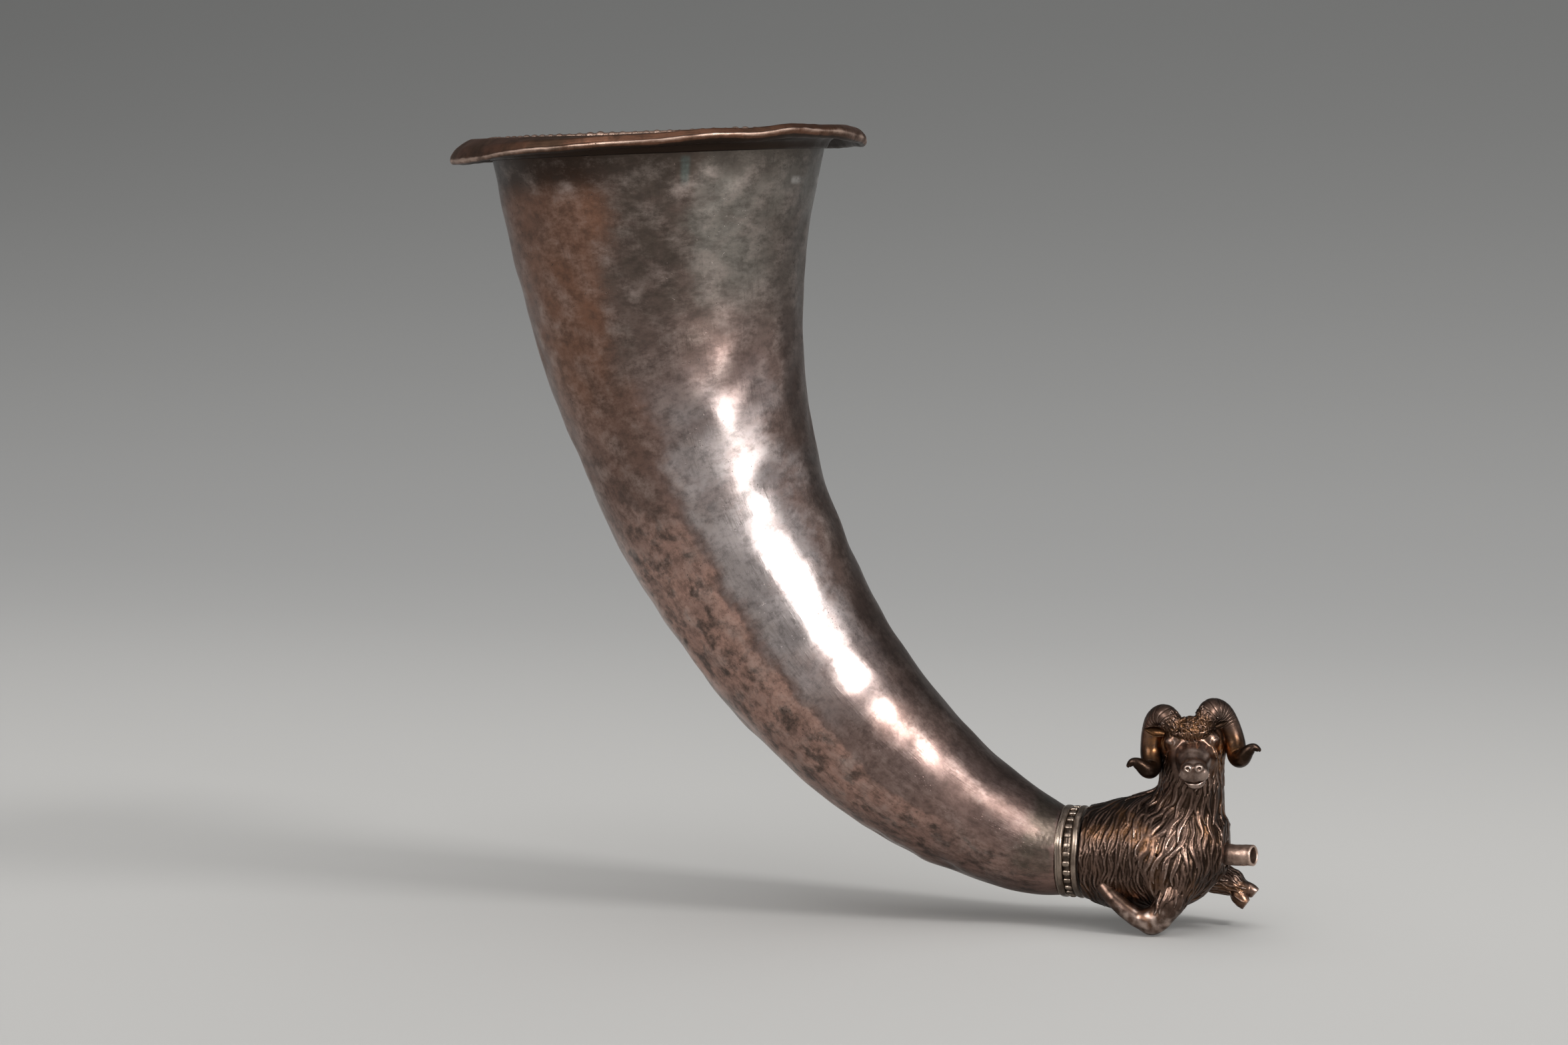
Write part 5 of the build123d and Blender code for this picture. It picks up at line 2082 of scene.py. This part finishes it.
@dataclass
class Studio:
    """Pale sweep, soft lights and the camera; places are metres."""

    camera_place: Point = (0.240603, -1.090638, 0.217842)
    camera_turn: Point = (84.0, 0.0, 17.0)
    lens: float = 85.0
    sensor: float = 36.0
    floor_height: float = -0.0212
    floor_near: float = -3.0
    wall_place: float = 2.8
    wall_bend: float = 2.2
    wall_top: float = 3.2
    half_width: float = 4.0
    # The paper's colour darkens from near to far: painted shade of the light falling off towards the wall
    near_paper: Colour = (0.46, 0.453, 0.437)
    mid_paper: Colour = (0.315, 0.313, 0.307)
    far_paper: Colour = (0.160, 0.161, 0.157)
    mid_limits: Span = (0.0, 0.9)
    far_limits: Span = (0.7, 1.9)
    # Painted light: the paper glows a little, which lifts the shadows on it
    paper_glow: float = 0.22
    paper_roughness: float = 0.85
    paper_shine: float = 0.2
    air: Colour = (0.5, 0.5, 0.51)
    air_strength: float = 0.48
    aim: Point = (-0.05, 0.0, 0.10)
    softboxes: tuple[Softbox, ...] = (
        Softbox("key_strip", (0.86, -0.71, 0.482), (0.27, 0.23), 4.0, 90.0, Lit.METAL),
        Softbox("high_strip", (0.50, -0.52, 1.0), (0.3, 0.5), 0.55, 90.0, Lit.METAL),
        Softbox("fill_softbox", (-0.60, -1.15, 0.80), (0.8, 0.8), 3.0, 70.0, Lit.METAL),
        Softbox("top_softbox", (-0.05, -0.30, 1.8), (1.5, 1.5), 3.5),
        Softbox("side_card", (1.4, 0.5, 0.4), (0.9, 1.2), 2.2, lights=Lit.METAL),
        Softbox("paper_softbox", (1.66, -0.28, 2.04), (0.6, 0.6), 22.0, lights=Lit.PAPER),
        Softbox("paper_tent", (-0.3, 0.3, 2.6), (3.0, 3.0), 41.0, lights=Lit.PAPER),
    )

    def build(self) -> None:
        """Make the floor, the lights, the world and the camera."""
        self._sweep()
        for softbox in self.softboxes:
            self._hang(softbox)
        world = bpy.data.worlds.new("studio_air")
        world.use_nodes = True
        background = world.node_tree.nodes["Background"]
        background.inputs["Color"].default_value = (*self.air, 1.0)
        background.inputs["Strength"].default_value = self.air_strength
        bpy.context.scene.world = world
        bpy.context.scene.view_settings.view_transform = "Standard"

        lens = bpy.data.cameras.new("photo_camera")
        lens.lens = self.lens
        lens.sensor_width = self.sensor
        camera = bpy.data.objects.new("photo_camera", lens)
        camera.location = self.camera_place
        camera.rotation_euler = tuple(math.radians(angle) for angle in self.camera_turn)
        bpy.context.scene.collection.objects.link(camera)
        bpy.context.scene.camera = camera

    def _sweep(self) -> None:
        """The floor and the wall behind it in one bent sheet, paler below than above as painted shade of the
        light falling off, and glowing a little as painted light.
        """
        bend, foot = self.wall_bend, self.wall_place - self.wall_bend
        outline = [(self.floor_near, self.floor_height)]
        for angle in np.linspace(0.0, 0.5 * math.pi, 24):
            rise = self.floor_height + bend - bend * math.cos(angle)
            outline.append((foot + bend * math.sin(angle), rise))
        outline.append((self.wall_place, self.wall_top))
        points = [(side * self.half_width, y, z) for y, z in outline for side in (-1.0, 1.0)]
        faces = [(2 * row, 2 * row + 1, 2 * row + 3, 2 * row + 2) for row in range(len(outline) - 1)]
        mesh = bpy.data.meshes.new("studio_sweep")
        mesh.from_pydata(points, [], faces)
        mesh.polygons.foreach_set("use_smooth", np.ones(len(faces), bool))
        material = bpy.data.materials.new("studio_paper")
        material.use_nodes = True
        tree = Tree(material.node_tree)
        material.node_tree.nodes.clear()
        place = tree.put("ShaderNodeTexCoord").outputs["Object"]
        back = tree.put("ShaderNodeSeparateXYZ", {"Vector": place}).outputs["Y"]
        # Painted shade darkens the paper towards the wall, and the paper glows a little as painted light
        colour = tree.mix(tree.ease(back, *self.mid_limits), self.near_paper, self.mid_paper)
        colour = tree.mix(tree.ease(back, *self.far_limits), colour, self.far_paper)
        inputs = {"Base Color": colour, "Roughness": self.paper_roughness, "Emission Color": colour}
        shine = {"Specular IOR Level": self.paper_shine, "Emission Strength": self.paper_glow}
        surface = tree.put("ShaderNodeBsdfPrincipled", {**inputs, **shine})
        tree.put("ShaderNodeOutputMaterial", {"Surface": surface.outputs["BSDF"]})
        mesh.materials.append(material)
        sweep = bpy.data.objects.new("studio_sweep", mesh)
        bpy.context.scene.collection.objects.link(sweep)

    def _hang(self, softbox: Softbox) -> None:
        """Hang a soft rectangular light, turned to the cup.

        Args:
            softbox: The light.
        """
        light = bpy.data.lights.new(softbox.name, "AREA")
        light.shape = "RECTANGLE"
        light.size, light.size_y = softbox.size
        light.energy = softbox.power
        light.spread = math.radians(softbox.spread)
        lamp = bpy.data.objects.new(softbox.name, light)
        lamp.location = softbox.place
        way = Vector(self.aim) - Vector(softbox.place)
        lamp.rotation_euler = way.to_track_quat("-Z", "Y").to_euler()
        lamp.visible_diffuse = softbox.lights is not Lit.METAL
        lamp.visible_glossy = softbox.lights is not Lit.PAPER
        bpy.context.scene.collection.objects.link(lamp)


# Colours of painted shade: along the edges of the horn's bend, and with grime under the lip
EDGE_SHADE_BROWN = (0.12, 0.085, 0.07)
UNDER_LIP_SHADE_AND_GRIME = (0.055, 0.042, 0.033)
BROAD, FINE = Patches.BROAD, Patches.FINE
HORN_ZONES = (
    # Clean silver on the near and inner side of the lower half
    Zone((0.42, 0.375, 0.365), 0.85, (0.22, 0.40, 0.58, 0.76), (-0.97, -0.8, -0.12, 0.05), BROAD, 0.4),
    # Copper brown on the outer side below the lip
    Zone((0.235, 0.117, 0.075), 0.9, (-2.0, -1.0, 0.2, 0.45), (-0.08, 0.2, 3.0, 4.0), BROAD, 0.12),
    # Green grey on the inner side below the lip, and the murky patch beside it
    Zone((0.21, 0.20, 0.176), 0.85, (-2.0, -1.0, 0.13, 0.26), (-4.0, -3.0, -0.56, -0.42), BROAD, 0.2),
    Zone((0.097, 0.077, 0.063), 0.9, (-2.0, -1.0, 0.16, 0.30), (-0.60, -0.44, -0.06, 0.2), BROAD, 0.38),
    # The rosy band along the outer bend, its blots and its reach round the throat
    Zone((0.50, 0.30, 0.24), 0.9, (0.34, 0.48, 2.0, 3.0), (0.03, 0.11, 3.0, 4.0), BROAD, 0.45),
    Zone((0.25, 0.16, 0.135), 0.9, (0.78, 0.92, 2.0, 3.0), (-0.95, -0.5, 3.0, 4.0), BROAD, 0.3),
    Zone((0.095, 0.07, 0.06), 0.9, (0.30, 0.44, 0.97, 1.0), (0.0, 0.2, 3.0, 4.0), FINE, 1.0),
    # Painted shade along both edges of the bend, where the horn turns away from the front
    Zone(EDGE_SHADE_BROWN, 0.45, (0.1, 0.3, 2.0, 3.0), (0.78, 1.0, 3.0, 4.0), wander=0.3),
    Zone(EDGE_SHADE_BROWN, 0.5, (0.02, 0.1, 2.0, 3.0), (-4.0, -3.0, -0.98, -0.78), wander=0.3),
    # Grime and painted shade under the lip; the painted shade is darkest on the outer side
    Zone(UNDER_LIP_SHADE_AND_GRIME, 0.7, (-2.0, -1.0, 0.005, 0.045), wander=0.2),
    Zone((0.03, 0.02, 0.015), 0.85, (-2.0, -1.0, 0.025, 0.06), (-0.2, 0.2, 3.0, 4.0), wander=0.15),
    # Drips of verdigris and a pale scar
    Zone(
        (0.13, 0.22, 0.21), 0.6, (0.004, 0.012, 0.03, 0.045), (-0.5, -0.475, -0.455, -0.43), FINE, 0.5, 0.08
    ),
    Zone(
        (0.60, 0.57, 0.54), 0.9, (0.029, 0.034, 0.036, 0.041), (-1.0, -0.975, -0.966, -0.955), FINE, 0.4,
        wander=0.06,
    ),
    # The brown edge of the copper, and the rough solder at the throat
    Zone((0.13, 0.085, 0.07), 0.5, (0.2, 0.27, 0.38, 0.45), (0.06, 0.15, 0.34, 0.5), BROAD, 0.4, 0.3),
    Zone((0.11, 0.09, 0.07), 0.85, (0.945, 0.965, 0.99, 0.998), (-4.0, -3.0, 0.2, 0.5), BROAD, 0.5, 0.35),
)
SILVER_HORN = HornFinish(
    "horn_silver", deep=(0.05, 0.04, 0.035), face=(0.23, 0.155, 0.135), rubbed=(0.50, 0.41, 0.37),
    cloud=(0.165, 0.108, 0.092), cloud_scale=32.0, grain=0.52, mottling=0.32, roughness=0.29,
    pit_amount=0.42, pit_scale=1300.0, zones=HORN_ZONES,
)
SILVER_RIM = Finish(
    "rim_silver", deep=(0.03, 0.02, 0.015), face=(0.15, 0.072, 0.045), rubbed=(0.50, 0.36, 0.29),
    cloud=(0.075, 0.042, 0.027), cloud_scale=75.0, roughness=0.44, scratch_stretch=(0.07, 0.07, 1.0),
    scratch_height=0.5,
)
SILVER_COLLAR = Finish(
    "collar_silver", deep=(0.025, 0.018, 0.014), face=(0.255, 0.195, 0.155), rubbed=(0.56, 0.46, 0.38),
    cloud=(0.16, 0.12, 0.092), cloud_scale=140.0, roughness=0.28,
)
SILVER_RAM = RamFinish(
    "ram_silver", deep=(0.02, 0.012, 0.008), face=(0.145, 0.092, 0.071), rubbed=(0.47, 0.36, 0.305),
    cloud=(0.075, 0.047, 0.036), cloud_scale=120.0, roughness=0.3,
)
SILVER_SPOUT = Finish(
    "spout_silver", deep=(0.03, 0.022, 0.018), face=(0.46, 0.32, 0.255), rubbed=(0.74, 0.55, 0.45),
    cloud=(0.27, 0.18, 0.14), cloud_scale=220.0, roughness=0.36, pit_amount=0.6,
)


def main() -> None:
    """Build the cup and its studio."""
    logging.basicConfig(level=logging.INFO, format="%(name)s: %(message)s")
    effects = Effects()
    horn = DrinkingHorn(SILVER_HORN.build(effects))
    horn.build()
    MouthRim(SILVER_RIM.build(effects), horn).build()
    Collar(SILVER_COLLAR.build(effects)).build()
    spout = Spout(SILVER_SPOUT.build(effects))
    spout.build()
    Ram(SILVER_RAM.build(effects), spout).build()
    Studio().build()


if __name__ == "__main__":
    main()
